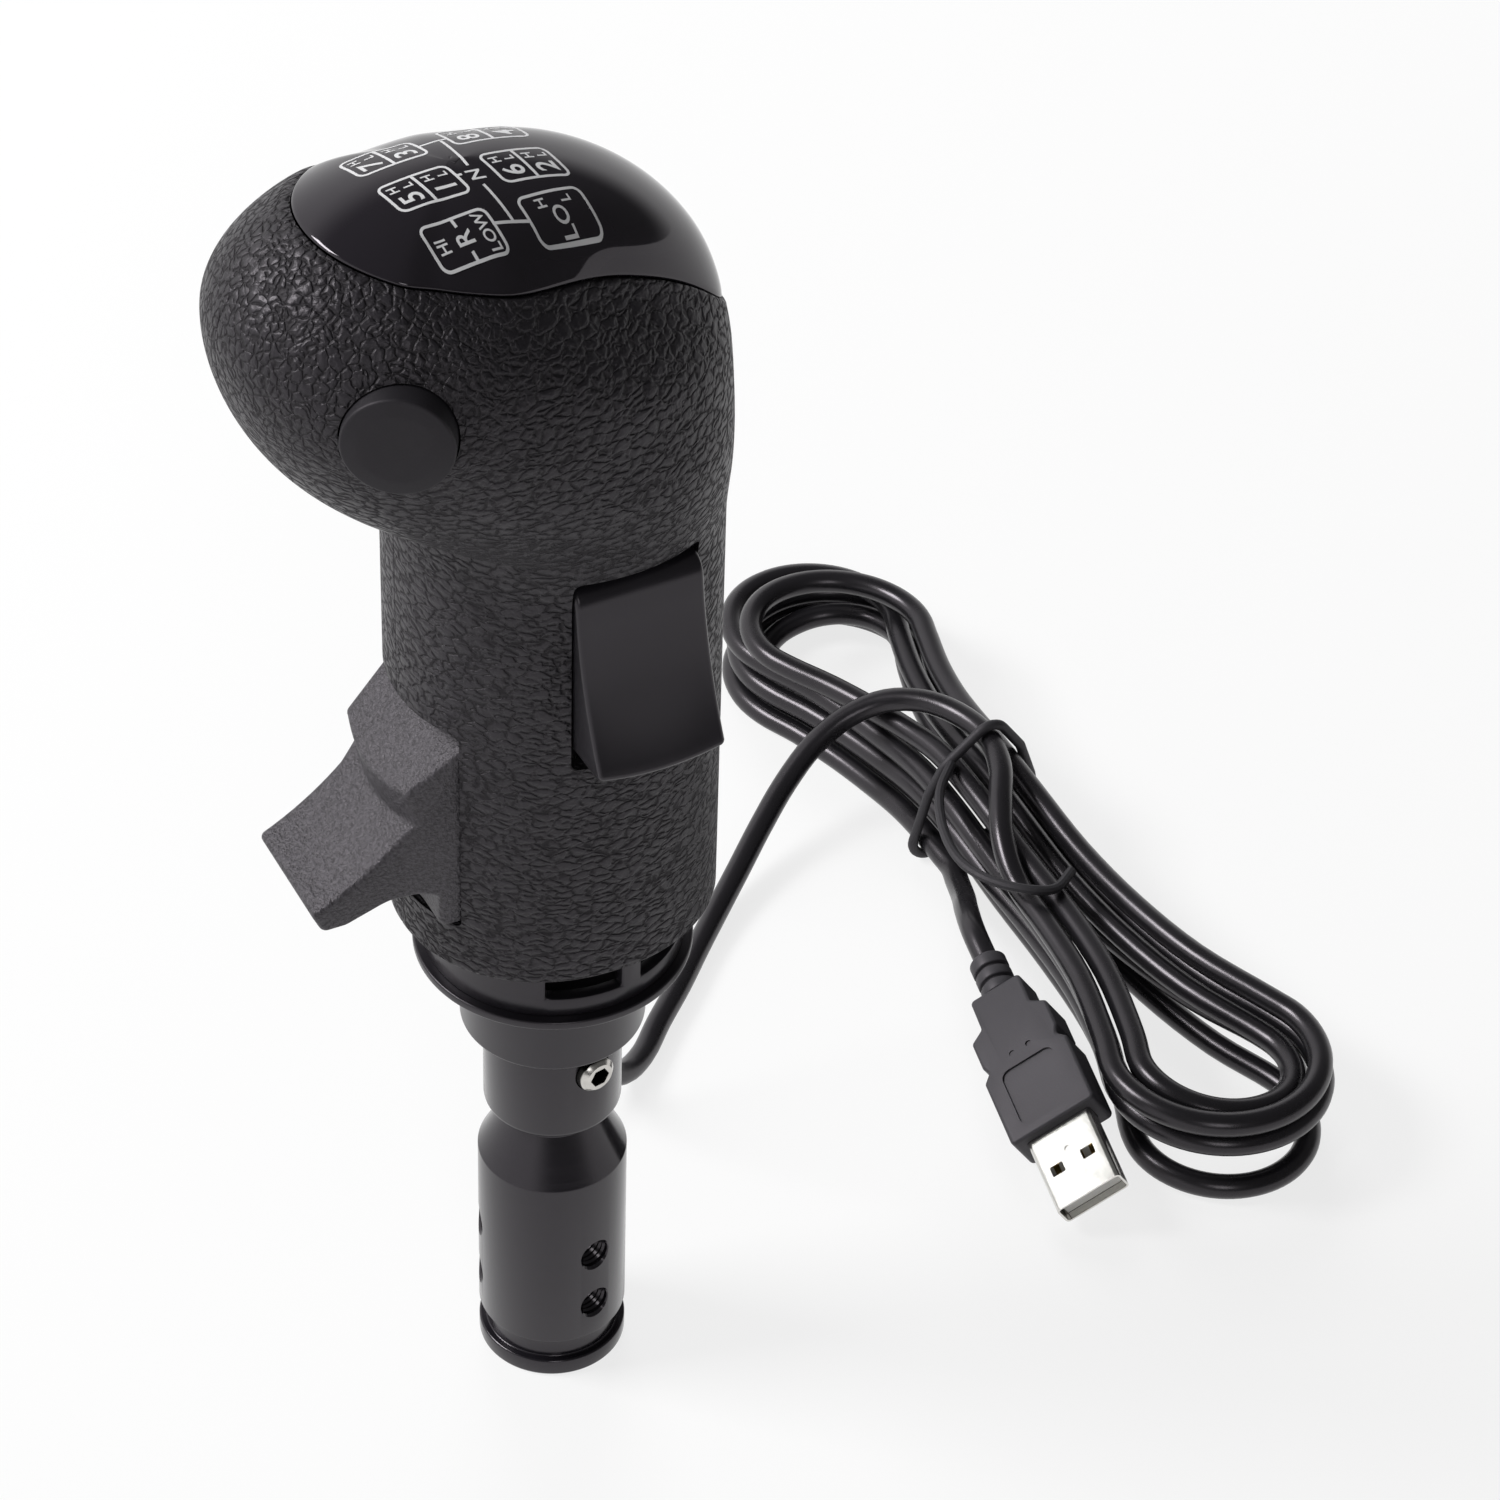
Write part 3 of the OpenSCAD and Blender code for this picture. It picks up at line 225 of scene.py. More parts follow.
def softened(corners, radii, steps=4):
    """Closed outline with its corners rounded; radii is one number or one for each corner."""
    corners = np.asarray(corners, float)
    radii = np.broadcast_to(radii, len(corners))
    out = []
    for p, before, after, radius in zip(corners, np.roll(corners, 1, 0), np.roll(corners, -1, 0), radii):
        to_a, to_b = before - p, after - p
        length_a, length_b = np.linalg.norm(to_a), np.linalg.norm(to_b)
        angle = 0.0
        if radius > 0:
            ua, ub = to_a / length_a, to_b / length_b
            angle = math.acos(max(-1.0, min(1.0, float(ua @ ub))))
        if not STRAIGHT <= angle <= math.pi - STRAIGHT:
            out.append(p)
            continue
        reach = min(radius / math.tan(angle / 2), LONGEST_ROUND * length_a, LONGEST_ROUND * length_b)
        r = reach * math.tan(angle / 2)
        centre = p + unit(ua + ub) * r / math.sin(angle / 2)
        first, last = (p + ua * reach - centre) / r, (p + ub * reach - centre) / r
        square = np.array([-first[1], first[0]])
        turn = math.atan2(float(square @ last), float(first @ last))
        out += [centre + r * (first * math.cos(t) + square * math.sin(t))
                for t in np.linspace(0, turn, steps + 1)]
    return np.array(out)


def round_box(w, h, r):
    return softened([(-w / 2, -h / 2), (w / 2, -h / 2), (w / 2, h / 2), (-w / 2, h / 2)], r, 6)


def circle(r, steps):
    a = np.linspace(0, 2 * math.pi, steps, endpoint=False)
    return np.c_[r * np.cos(a), r * np.sin(a)]


def outline_normals(outline):
    ahead = np.roll(outline, -1, 0) - outline
    ahead /= np.maximum(np.linalg.norm(ahead, axis=1), 1e-9)[:, None]
    flow = ahead + np.roll(ahead, 1, 0)
    flow /= np.maximum(np.linalg.norm(flow, axis=1), 1e-9)[:, None]
    x, y = outline.T
    area = np.sum(x * np.roll(y, -1) - y * np.roll(x, -1))
    return np.c_[flow[:, 1], -flow[:, 0]] * (1 if area > 0 else -1)


def arc_between(a, b, r, steps):
    """Points of the round hollow from a to b, whose centre is on the left of that way."""
    a, b = np.asarray(a, float), np.asarray(b, float)
    half = np.linalg.norm(b - a) / 2
    way = (b - a) / (2 * half)
    centre = (a + b) / 2 + np.array([-way[1], way[0]]) * math.sqrt(r * r - half * half)
    start = math.atan2(*(a - centre)[::-1])
    end = math.atan2(*(b - centre)[::-1])
    turn = (end - start + math.pi) % (2 * math.pi) - math.pi
    return [centre + r * np.array([math.cos(t), math.sin(t)])
            for t in np.linspace(start, start + turn, steps + 1)]


def smooth_path(points, per_span):
    """Points along a centripetal spline through the given ones."""
    p = np.asarray(points, float)
    p = np.concatenate([[2 * p[0] - p[1]], p, [2 * p[-1] - p[-2]]])
    out = []
    for knots in zip(p, p[1:], p[2:], p[3:]):
        gaps = [max(np.linalg.norm(b - a), 1e-6) ** 0.5 for a, b in zip(knots, knots[1:])]
        at = np.concatenate([[0.0], np.cumsum(gaps)])
        for t in np.linspace(at[1], at[2], per_span, endpoint=False):
            level = knots
            for spans in (((0, 1), (1, 2), (2, 3)), ((0, 2), (1, 3)), ((1, 2),)):
                level = [a + (b - a) * (t - at[i]) / (at[j] - at[i])
                         for a, b, (i, j) in zip(level, level[1:], spans)]
            out.append(level[0])
    out.append(p[-2])
    return np.array(out)


# Ways to make a piece

TUBE_SIDE = (0.35, 0.25, 0.9)
RIM_ANGLES = (90, 65, 40, 18)


def turned(name, outline, steps, place=None):
    """Turned piece: a closed outline of radius and height, spun about the axis."""
    r, z = np.asarray(outline, float).T
    angle = np.linspace(0, 2 * math.pi, steps, endpoint=False)[:, None]
    points = np.stack([np.cos(angle) * r, np.sin(angle) * r, z + 0 * angle], -1).reshape(-1, 3)
    return solid(name, placed(points, place), grid_faces(steps, len(r), wrap_rows=True))


def prism(name, outline, low, high, place=None):
    """Straight prism on an outline in X and Y, between two heights."""
    n = len(outline)
    points = np.concatenate([np.c_[outline, np.full(n, low)], np.c_[outline, np.full(n, high)]])
    return solid(name, placed(points, place), grid_faces(2, n) + end_faces(2, n))


def slab(name, outline, half, edge, shape, stations, sharp=SHARP):
    """Slab with rounded rims.

    outline is one outline, or gives it for s, which runs from -1 to 1 across the slab. half(p) is the half
    width at outline points, and shape(p, s, x) gives the place in space of point p, at x to a side.
    """
    rim = [(edge * (1 - math.sin(t)), edge * (1 - math.cos(t))) for t in np.radians(RIM_ANGLES)]
    rows = [(gap, inset, -1) for gap, inset in rim]
    rows += [(edge, 0.0, s) for s in np.linspace(-1, 1, stations)]
    rows += [(gap, inset, 1) for gap, inset in reversed(rim)]
    points = []
    for gap, inset, s in rows:
        line = np.asarray(outline(s) if callable(outline) else outline, float)
        p = line - outline_normals(line) * inset
        w = half(p)
        x = s * (w - gap)
        points.append(shape(p, x / w, x))
    size = len(rows), len(points[0])
    return solid(name, np.concatenate(points), grid_faces(*size) + end_faces(*size), sharp, WELD_FINE)


def tube(name, path, d, sides, closed=False):
    """Tube along a path, its rings carried on without twist."""
    path = np.asarray(path, float)
    way = np.roll(path, -1, 0) - np.roll(path, 1, 0) if closed else np.gradient(path, axis=0)
    way /= np.linalg.norm(way, axis=1)[:, None]
    a = np.linspace(0, 2 * math.pi, sides, endpoint=False)[:, None]
    side = np.cross(way[0], TUBE_SIDE)
    rings = []
    for at, ahead in zip(path, way):
        side = unit(side - ahead * (side @ ahead))
        rings.append(at + d / 2 * (np.cos(a) * side + np.sin(a) * np.cross(ahead, side)))
    faces = grid_faces(len(path), sides, wrap_rows=closed)
    if not closed:
        faces += end_faces(len(path), sides)
    return solid(name, np.concatenate(rings), faces, SHARP_ROUND)


def build_repeat_tree():
    """Tree that sets copies of a piece on points, each turned by the point's own angles."""
    tree = bpy.data.node_groups.new("piece_on_points", "GeometryNodeTree")
    named = {}
    for name, way, kind in (("Points", "INPUT", "Geometry"), ("Piece", "INPUT", "Object"),
                            ("Finish", "INPUT", "Material"), ("Size", "INPUT", "Float"),
                            ("Pieces", "OUTPUT", "Geometry")):
        named[name] = tree.interface.new_socket(name, in_out=way, socket_type="NodeSocket" + kind).identifier
    nodes, links = tree.nodes, tree.links
    entry = nodes.new("NodeGroupInput")
    leave = nodes.new("NodeGroupOutput")
    info = nodes.new("GeometryNodeObjectInfo")
    turn = nodes.new("GeometryNodeInputNamedAttribute")
    turn.data_type = "FLOAT_VECTOR"
    turn.inputs["Name"].default_value = "turn"
    copies = nodes.new("GeometryNodeInstanceOnPoints")
    real = nodes.new("GeometryNodeRealizeInstances")
    paint = nodes.new("GeometryNodeSetMaterial")
    links.new(entry.outputs["Points"], copies.inputs["Points"])
    links.new(entry.outputs["Piece"], info.inputs["Object"])
    links.new(info.outputs["Geometry"], copies.inputs["Instance"])
    links.new(turn.outputs["Attribute"], copies.inputs["Rotation"])
    links.new(entry.outputs["Size"], copies.inputs["Scale"])
    links.new(copies.outputs["Instances"], real.inputs["Geometry"])
    links.new(real.outputs["Geometry"], paint.inputs["Geometry"])
    links.new(entry.outputs["Finish"], paint.inputs["Material"])
    links.new(paint.outputs["Geometry"], leave.inputs["Pieces"])
    return tree, named


REPEAT_TREE, REPEAT_INPUT = build_repeat_tree()


def repeat(name, piece, places, finish):
    """Copies of a piece at each (point in mm, angles in radians), as one plain mesh."""
    mesh = bpy.data.meshes.new(name)
    mesh.from_pydata([[c * MM for c in at] for at, _ in places], [], [])
    angles = mesh.attributes.new("turn", "FLOAT_VECTOR", "POINT")
    angles.data.foreach_set("vector", [float(c) for _, turn in places for c in turn])
    thing = new_object(name, mesh)
    mod = thing.modifiers.new("copies", "NODES")
    mod.node_group = REPEAT_TREE
    for socket, value in (("Piece", piece), ("Finish", finish), ("Size", 1.0)):
        mod[REPEAT_INPUT[socket]] = value
    apply_modifiers(thing)
    left_over = thing.data.attributes.get("turn")
    if left_over:
        thing.data.attributes.remove(left_over)
    drop(piece)
    return thing


# Finishes

VIOLET_SHEEN = (1.0, 0.93, 1.0)


class Shading:
    """Shader nodes of a material or of the world."""

    def __init__(self, holder, coordinates="Object"):
        holder.use_nodes = True
        self.nodes, self.links = holder.node_tree.nodes, holder.node_tree.links
        self.place = self.node("ShaderNodeTexCoord").outputs[coordinates]

    def set(self, socket, value):
        if isinstance(value, bpy.types.NodeSocket):
            self.links.new(value, socket)
        else:
            socket.default_value = value

    def node(self, kind, options=None, **values):
        made = self.nodes.new(kind)
        for key, value in (options or {}).items():
            setattr(made, key, value)
        for key, value in values.items():
            self.set(made.inputs[key.replace("_", " ")], value)
        return made

    def math(self, operation, *terms, kind="ShaderNodeMath", out=0):
        made = self.node(kind, {"operation": operation})
        for socket, term in zip(made.inputs, terms):
            self.set(socket, term)
        return made.outputs[out]

    def vector(self, operation, *terms, out="Vector"):
        return self.math(operation, *terms, kind="ShaderNodeVectorMath", out=out)

    def mixed(self, a, share_a, b, share_b):
        return self.math("ADD", self.math("MULTIPLY", a, share_a), self.math("MULTIPLY", b, share_b))

    def span(self, value, low, high, to_low=0.0, to_high=1.0, kind="SMOOTHSTEP"):
        return self.node("ShaderNodeMapRange", {"interpolation_type": kind}, Value=value, From_Min=low,
                         From_Max=high, To_Min=to_low, To_Max=to_high).outputs[0]

    def stretched(self, scale, at=None):
        return self.node("ShaderNodeMapping", Vector=at or self.place, Scale=scale).outputs[0]

    def noise(self, scale, detail=3.0, rough=0.5, at=None, out="Fac"):
        return self.node("ShaderNodeTexNoise", Vector=at or self.place, Scale=scale, Detail=detail,
                         Roughness=rough).outputs[out]

    def cells(self, scale, at=None, jitter=1.0):
        return self.node("ShaderNodeTexVoronoi", {"feature": "DISTANCE_TO_EDGE"}, Vector=at or self.place,
                         Scale=scale, Randomness=jitter).outputs["Distance"]


class Finish(Shading):
    """Procedural material of a piece."""

    def __init__(self, name, colour, metal=0.0, specular=0.5, rough=0.5):
        self.material = bpy.data.materials.new(name)
        super().__init__(self.material)
        self.colour = colour
        self.sockets = self.nodes["Principled BSDF"].inputs
        sheen = (1, 1, 1) if metal else VIOLET_SHEEN
        for socket, value in (("Base Color", (*colour, 1)), ("Roughness", rough), ("Metallic", metal),
                              ("Specular IOR Level", specular), ("Specular Tint", (*sheen, 1))):
            self.set(self.sockets[socket], value)

    def shades(self, value, low, high):
        """Colour from low to high times its own, as a value goes from 0 to 1."""
        ramp = self.node("ShaderNodeValToRGB", Fac=value)
        for element, share in zip(ramp.color_ramp.elements, (low, high)):
            element.color = (*(c * share for c in self.colour), 1)
        self.set(self.sockets["Base Color"], ramp.outputs["Color"])

    def roughness(self, value, low, high):
        self.set(self.sockets["Roughness"], self.span(value, 0.0, 1.0, low, high, "LINEAR"))

    def bump(self, height, strength, depth):
        made = self.node("ShaderNodeBump", Height=height, Strength=strength, Distance=depth * MM)
        self.set(self.sockets["Normal"], made.outputs["Normal"])


def domed(f, edge):
    """Pebble height from the distance to its edge: a narrow groove and a slightly crowned top."""
    return f.mixed(f.span(edge, 0.0, 0.17), 0.66, f.span(edge, 0.0, 0.5), 0.34)


def grip_leather():
    """Moulded leather grain: flat pebbles between narrow grooves, drawn out sideways below the bulb."""
    f = Finish("grip_leather_grain", (0.0135, 0.0124, 0.0148), specular=0.34)
    sway = f.noise(330.0, 2.0, out="Color")
    moved = f.vector("MULTIPLY_ADD", sway, (0.0022, 0.0022, 0.0022), f.place)
    pebbles = domed(f, f.cells(660.0, at=moved))
    wrinkles = domed(f, f.cells(600.0, at=f.stretched((0.62, 0.62, 1.3), moved)))
    parts = f.node("ShaderNodeSeparateXYZ", Vector=f.place).outputs
    bulb = f.math("MULTIPLY", f.span(parts["Z"], 0.192, 0.206), f.span(parts["Y"], -0.012, -0.030))
    flat = f.mixed(wrinkles, f.math("SUBTRACT", 1.0, bulb), pebbles, bulb)
    depth = f.span(f.noise(900.0, 1.0), 0.34, 0.54, 0.3, 1.0)
    grain = f.math("SUBTRACT", 1.0, f.math("MULTIPLY", f.math("SUBTRACT", 1.0, flat), depth))
    f.bump(f.mixed(grain, 1.0, f.noise(1400.0, 2.0), 0.16), 1.0, 0.33)
    # Colour falls towards a fifth in the grooves: painted shade in the grooves, mixed with a slow random
    # tone.
    f.shades(f.mixed(grain, 0.7, f.noise(60.0), 0.3), 0.2, 1.3)
    f.roughness(grain, 0.7, 0.37)
    return f.material


def moulding(name, colour, specular, grain, bump, tone, shades, rough, rough_by_tone=False):
    """Moulded skin: a fine grain, and slow changes of tone."""
    f = Finish(name, colour, specular=specular)
    fine, slow = f.noise(*grain), f.noise(*tone)
    f.bump(fine, *bump)
    f.shades(slow, *shades)
    f.roughness(slow if rough_by_tone else fine, *rough)
    return f.material


def plain_moulding(name, colour, rough):
    return moulding(name, colour, 0.5, grain=(1800.0, 2.0), bump=(0.1, 0.03), tone=(160.0,),
                    shades=(0.88, 1.1), rough=(rough * 0.85, rough * 1.15))


def lever_plastic():
    f = Finish("spark_textured_lever", (0.036, 0.034, 0.038), specular=0.45)
    spark = f.noise(1700.0, 2.0, 0.6)
    f.bump(spark, 1.0, 0.34)
    f.shades(f.mixed(f.span(spark, 0.35, 0.65), 0.6, f.noise(70.0), 0.4), 0.25, 1.75)
    f.roughness(spark, 0.36, 0.56)
    return f.material


def plug_plastic():
    f = Finish("plug_overmould_grey", (0.036, 0.035, 0.039), specular=0.4)
    spark = f.noise(2600.0, 3.0, 0.6)
    f.bump(spark, 0.3, 0.05)
    f.shades(f.mixed(spark, 0.5, f.noise(110.0, 2.0), 0.5), 0.7, 1.3)
    f.roughness(spark, 0.42, 0.6)
    return f.material


def anodised_black():
    """Black with the fine rings that turning leaves."""
    f = Finish("anodised_turned_black", (0.0090, 0.0082, 0.0105))
    rings = f.noise(26.0, at=f.stretched((2.0, 2.0, 190.0)))
    f.bump(rings, 0.05, 0.02)
    f.roughness(rings, 0.1, 0.24)
    f.shades(f.mixed(rings, 0.6, f.noise(75.0), 0.4), 0.72, 1.3)
    return f.material


def bright_metal(name, colour, rough, scale):
    f = Finish(name, colour, metal=1.0)
    brushed = f.noise(scale, at=f.stretched((1.0, 6.0, 6.0)))
    f.roughness(brushed, rough * 0.75, rough * 1.4)
    f.shades(brushed, 0.86, 1.08)
    f.bump(brushed, 0.05, 0.02)
    return f.material


def screw_nickel():
    """Bright plate outside; painted shade down in the hexagon socket, where the colour falls to near black.
    """
    f = Finish("set_screw_plate", (0.62, 0.60, 0.57), metal=1.0)
    brushed = f.noise(700.0)
    from_axis = f.vector("LENGTH", f.stretched((1, 1, 0)), out="Value")
    outside = f.span(from_axis, 0.0114, 0.0118)
    # Points down in the hexagon socket, nearer the shaft than 11.4 mm, get painted shade: their colour falls
    # to 3 %.
    f.shades(f.math("MULTIPLY", outside, f.span(brushed, 0.0, 1.0, 0.75, 1.0)), 0.03, 1.1)
    f.roughness(brushed, 0.14, 0.3)
    f.bump(brushed, 0.08, 0.03)
    return f.material


def board_green():
    f = Finish("board_green_mask", (0.012, 0.105, 0.042), rough=0.35)
    tracks = f.cells(420.0, jitter=0.2)
    f.shades(f.span(tracks, 0.02, 0.1), 0.7, 1.15)
    f.bump(tracks, 0.1, 0.03)
    return f.material


GRIP = grip_leather()
CAP = moulding("gloss_cap_black", (0.0135, 0.0118, 0.0150), 0.44, grain=(230.0, 2.0), bump=(0.015, 0.02),
               tone=(45.0, 4.0), shades=(0.8, 1.25), rough=(0.03, 0.085), rough_by_tone=True)
SATIN = moulding("satin_black_moulding", (0.0115, 0.0105, 0.0130), 0.44, grain=(4200.0, 2.0),
                 bump=(0.12, 0.03), tone=(90.0, 4.0), shades=(0.8, 1.25), rough=(0.24, 0.36),
                 rough_by_tone=True)
LEVER = lever_plastic()
BUTTON = moulding("matte_button", (0.0105, 0.0098, 0.0118), 0.3, grain=(3600.0, 2.0), bump=(0.25, 0.04),
                  tone=(240.0, 3.0), shades=(0.8, 1.25), rough=(0.48, 0.62))
ANODISED = anodised_black()
NICKEL = bright_metal("bright_nickel", (0.74, 0.73, 0.70), 0.16, 700.0)
SCREW_NICKEL = screw_nickel()
STEEL = bright_metal("dark_steel", (0.17, 0.17, 0.18), 0.34, 900.0)
PIN_STEEL = bright_metal("ground_steel", (0.55, 0.55, 0.56), 0.25, 900.0)
GOLD = bright_metal("contact_gold", (0.83, 0.60, 0.24), 0.2, 900.0)
JACKET = moulding("cable_jacket_black", (0.0095, 0.0090, 0.0105), 0.5, grain=(900.0, 3.0), bump=(0.12, 0.05),
                  tone=(55.0, 5.0, 0.6), shades=(0.7, 1.4), rough=(0.2, 0.36), rough_by_tone=True)
OVERMOULD = plug_plastic()
RUBBER = plain_moulding("grommet_rubber", (0.017, 0.017, 0.019), 0.6)
INSULATOR = plain_moulding("white_insulator", (0.72, 0.71, 0.68), 0.45)
SWITCH = plain_moulding("switch_housing", (0.014, 0.014, 0.016), 0.5)
PRINT = plain_moulding("white_print", (0.62, 0.62, 0.63), 0.42)
BOARD = board_green()


def dress(thing, finish, body, slot, *nodes):
    """Gives a piece its finish and the body it rides on, and hides the CAD nodes that it stands for; slot is
    not used.
    """
    thing.data.materials.clear()
    thing.data.materials.append(finish)
    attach(thing, body)
    if nodes:
        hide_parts(*nodes)
    return thing


# USB cable: one cord from the grommet, through the hank, to the plug

CABLE_D, TIE_D = 4.2, 1.8
HANK_AT = (-72.0, 114.8)
HANK_RIGHT, HANK_LEFT, LOBE_R = 99.0, 68.0, 18.2
LANE, LAYER = CABLE_D + 0.55, CABLE_D + 0.45
HANK_WAIST, HANK_FLARE = 1.75 * LANE, 25.0
HANK_LAYERS, HANK_TURN, HANK_FIRST, HANK_RINGS = 4, 1.25, 0.055, 44
HANK_LAST = HANK_LAYERS * HANK_TURN
REACH_RIGHT, REACH_LEFT = (-3, -3, -3, -7, 0), (-5, 3, 0, 0, 0)
BOW_RIGHT, BOW_LEFT = (0.05, 0.05, 0.05, 0.08, 0.04), (-0.14, -0.09, -0.05, -0.05, -0.05)
BOW_SOFT = 20.0
TIE_LIFT, TIE_SOFT = TIE_D + 0.3, 16.0
CLIMB_HALF, STRAIGHT_SHARE = 0.13, 0.42
LEAD_DROP, TAIL_STRAIGHT = 0.25, 1.6 * CABLE_D
GROMMET_ANGLE, GROMMET_Z = 169.0, 92.6
GROMMET_IN, GROMMET_OUT = 16.1, 27.0
PLUG_AT = np.array([-33.0, 96.2, 12.1])
PLUG_TURN = (33.0, 6.0, -9.0)
PLUG = Matrix.Translation(Vector(PLUG_AT)) @ Euler(np.radians(PLUG_TURN), "XYZ").to_matrix().to_4x4()
LEAD_CROSS = (-72.5, 117.3, 23.1)
LEAD_KNOTS = (
    (-36, 7, 92), (-41, 8, 89), (-44, 9, 84), (-45.5, 10, 77), (-45.5, 11, 69), (-44.5, 12, 60),
    (-43.5, 13.5, 51), (-42.5, 15, 42), (-41.5, 17, 33), (-40.5, 19.5, 24), (-40, 23, 15.5),
    (-40.5, 27.5, 8.5), (-42.5, 33, 4), (-46.5, 38.5, 2.3), (-52.5, 44.5, 2.2), (-59, 51.5, 2.2),
    (-66, 58.5, 2.3), (-72.5, 65.5, 3), (-78.5, 72.5, 4.7), (-84, 79.5, 7.6), (-88.5, 86.5, 11.4),
    (-91.5, 93.5, 15.3), (-92.3, 100.5, 18.7), (-90.6, 107, 21.2), (-86.4, 112.2, 22.5),
    (-80.3, 115.8, 22.9), LEAD_CROSS, (-65, 115.6, 23), (-58.5, 112.2, 22.1), (-52.4, 109.2, 20.3),
    (-46.8, 107.8, 17.9))
TAIL_KNOTS = ((-59.5, 105.3, 4.8), (-53.2, 103, 7.1), (-47.2, 100.1, 10.4))
TIE_END_KNOTS = ((-66, 104.5, 20.4), (-58, 101, 19.6), (-50, 100, 19.4), (-43, 102, 20), (-38, 106.5, 20.3),
                 (-37, 111, 19.6), (-40, 116, 19.3))


def hank_quarter(f, reach, k):
    """Quarter of a loop from its waist to the end of its lobe."""
    r, b, c = LOBE_R - LANE * k, HANK_WAIST - LANE * k, reach - LOBE_R
    if f >= STRAIGHT_SHARE:
        a = math.radians((90 + HANK_FLARE) * (1 - f) / (1 - STRAIGHT_SHARE))
        return np.array([c + r * math.cos(a), r * math.sin(a)])
    flare = heading(HANK_FLARE)[:2]
    start, end = np.array([0.0, b]), np.array([c - r * flare[1], r * flare[0]])
    length = np.linalg.norm(end - start)
    s = f / STRAIGHT_SHARE
    q, cube = s * s, s * s * s
    return (start * (2 * cube - 3 * q + 1) + np.array([length, 0]) * (cube - 2 * q + s)
            + end * (3 * q - 2 * cube) + length * flare * (cube - q))


def hank_lane(t):
    """Lanes in from the outer one: the cable winds in on one layer and out again on the next one down."""
    m = t / HANK_TURN
    i = math.floor(m)
    return HANK_TURN * (m - i if i % 2 == 0 else 1 - m + i)


def on_hank(u, v, z, n):
    """Point at u along the hank and v across it, bent aside as pass n round the lobes is."""
    bow = (BOW_RIGHT if u > 0 else BOW_LEFT)[n] * (math.hypot(u, BOW_SOFT) - BOW_SOFT)
    return np.array([HANK_AT[0] + u, HANK_AT[1] + v + bow, z])


def hank_point(t):
    p, k, n = t - math.floor(t), hank_lane(t), min(math.floor(t), len(REACH_RIGHT) - 1)
    right, left = HANK_RIGHT + REACH_RIGHT[n], HANK_LEFT + REACH_LEFT[n]
    if p < 0.25:
        u, v = hank_quarter(p * 4, right, k) * (1, -1)
    elif p < 0.5:
        u, v = hank_quarter(2 - p * 4, right, k)
    elif p < 0.75:
        u, v = hank_quarter(p * 4 - 2, left, k) * (-1, 1)
    else:
        u, v = hank_quarter(4 - p * 4, left, k) * (-1, -1)
    fall = sum(float(ease((t - j * HANK_TURN + CLIMB_HALF) / (2 * CLIMB_HALF)))
               for j in range(1, HANK_LAYERS))
    lift = TIE_LIFT * math.exp(-(u / TIE_SOFT) ** 2)
    return on_hank(u, v, CABLE_D / 2 + lift + LAYER * (HANK_LAYERS - 1 - fall), n)


def level_way(t, step=0.002):
    way = hank_point(t + step) - hank_point(t - step)
    return unit([way[0], way[1], 0])


def cable_route():
    """Where the cable leaves the grommet, and its points from there to the plug."""
    count = round((HANK_LAST - HANK_FIRST) * HANK_RINGS)
    first, last = hank_point(HANK_FIRST), hank_point(HANK_LAST)
    hank = [first - CABLE_D * level_way(HANK_FIRST)]
    hank += [hank_point(HANK_FIRST + (HANK_LAST - HANK_FIRST) * i / count) for i in range(count + 1)]
    hank += [last + CABLE_D * level_way(HANK_LAST)]
    out = heading(GROMMET_ANGLE)
    leave = GROMMET_OUT * out + (0, 0, GROMMET_Z)
    lead = [leave, leave + CABLE_D * out, *LEAD_KNOTS,
            hank[0] - CABLE_D * level_way(HANK_FIRST) + (0, 0, LEAD_DROP)]
    plug_way = np.array(PLUG.to_3x3() @ Vector((1, 0, 0)))
    tail = [hank[-1] + CABLE_D * unit(hank[-1] - last), *TAIL_KNOTS,
            PLUG_AT - TAIL_STRAIGHT * plug_way, PLUG_AT]
    return leave, np.array(lead + hank + tail)


cable_exit, cable_knots = cable_route()
cable_path = smooth_path(cable_knots, 4)
usb_cable = tube("usb_cable", cable_path, CABLE_D, 16)
dress(usb_cable, JACKET, "knob", "cable_jacket", "usb_cable_lead", "usb_cable_hank", "usb_cable_tail")


def wire_tie():
    """Wire drawn taut round the runs at the hank's waist, one end left as a loose loop over them."""
    low = CABLE_D / 2 + TIE_LIFT
    high = low + (HANK_LAYERS - 1) * LAYER
    hold = np.array([(-HANK_WAIST, low), (HANK_WAIST - LANE / 2, low), (HANK_WAIST, (low + high) / 2),
                     (HANK_WAIST - LANE / 2, high), (LEAD_CROSS[1] - HANK_AT[1], LEAD_CROSS[2]),
                     (LANE - HANK_WAIST, high), (LANE / 2 - HANK_WAIST, high - LAYER)])
    bend = (CABLE_D + TIE_D) / 2 + 0.2
    way = np.roll(hold, -1, 0) - hold
    side = np.arctan2(way[:, 1], way[:, 0]) - math.pi / 2
    ring = []
    for i in range(len(hold)):
        turn = (side[i] - side[i - 1]) % (2 * math.pi)
        for a in np.linspace(side[i - 1], side[i - 1] + turn, 9):
            ring.append(on_hank(0, *(hold[i] + bend * np.array([math.cos(a), math.sin(a)])), 0))
    start = on_hank(0.6, *(hold[5] + bend * np.array([-0.5, 0.86])), 0)
    band = tube("tie_band", ring, TIE_D, 12, closed=True)
    loose = tube("tie_end", smooth_path([start, *TIE_END_KNOTS], 8), TIE_D * 0.95, 10)
    return join("cable_tie_wire", band, loose)


cable_tie = dress(wire_tie(), RUBBER, "knob", "cable_jacket", "cable_tie")


# Plug: boot, overmould and metal shell, in the plug's own frame

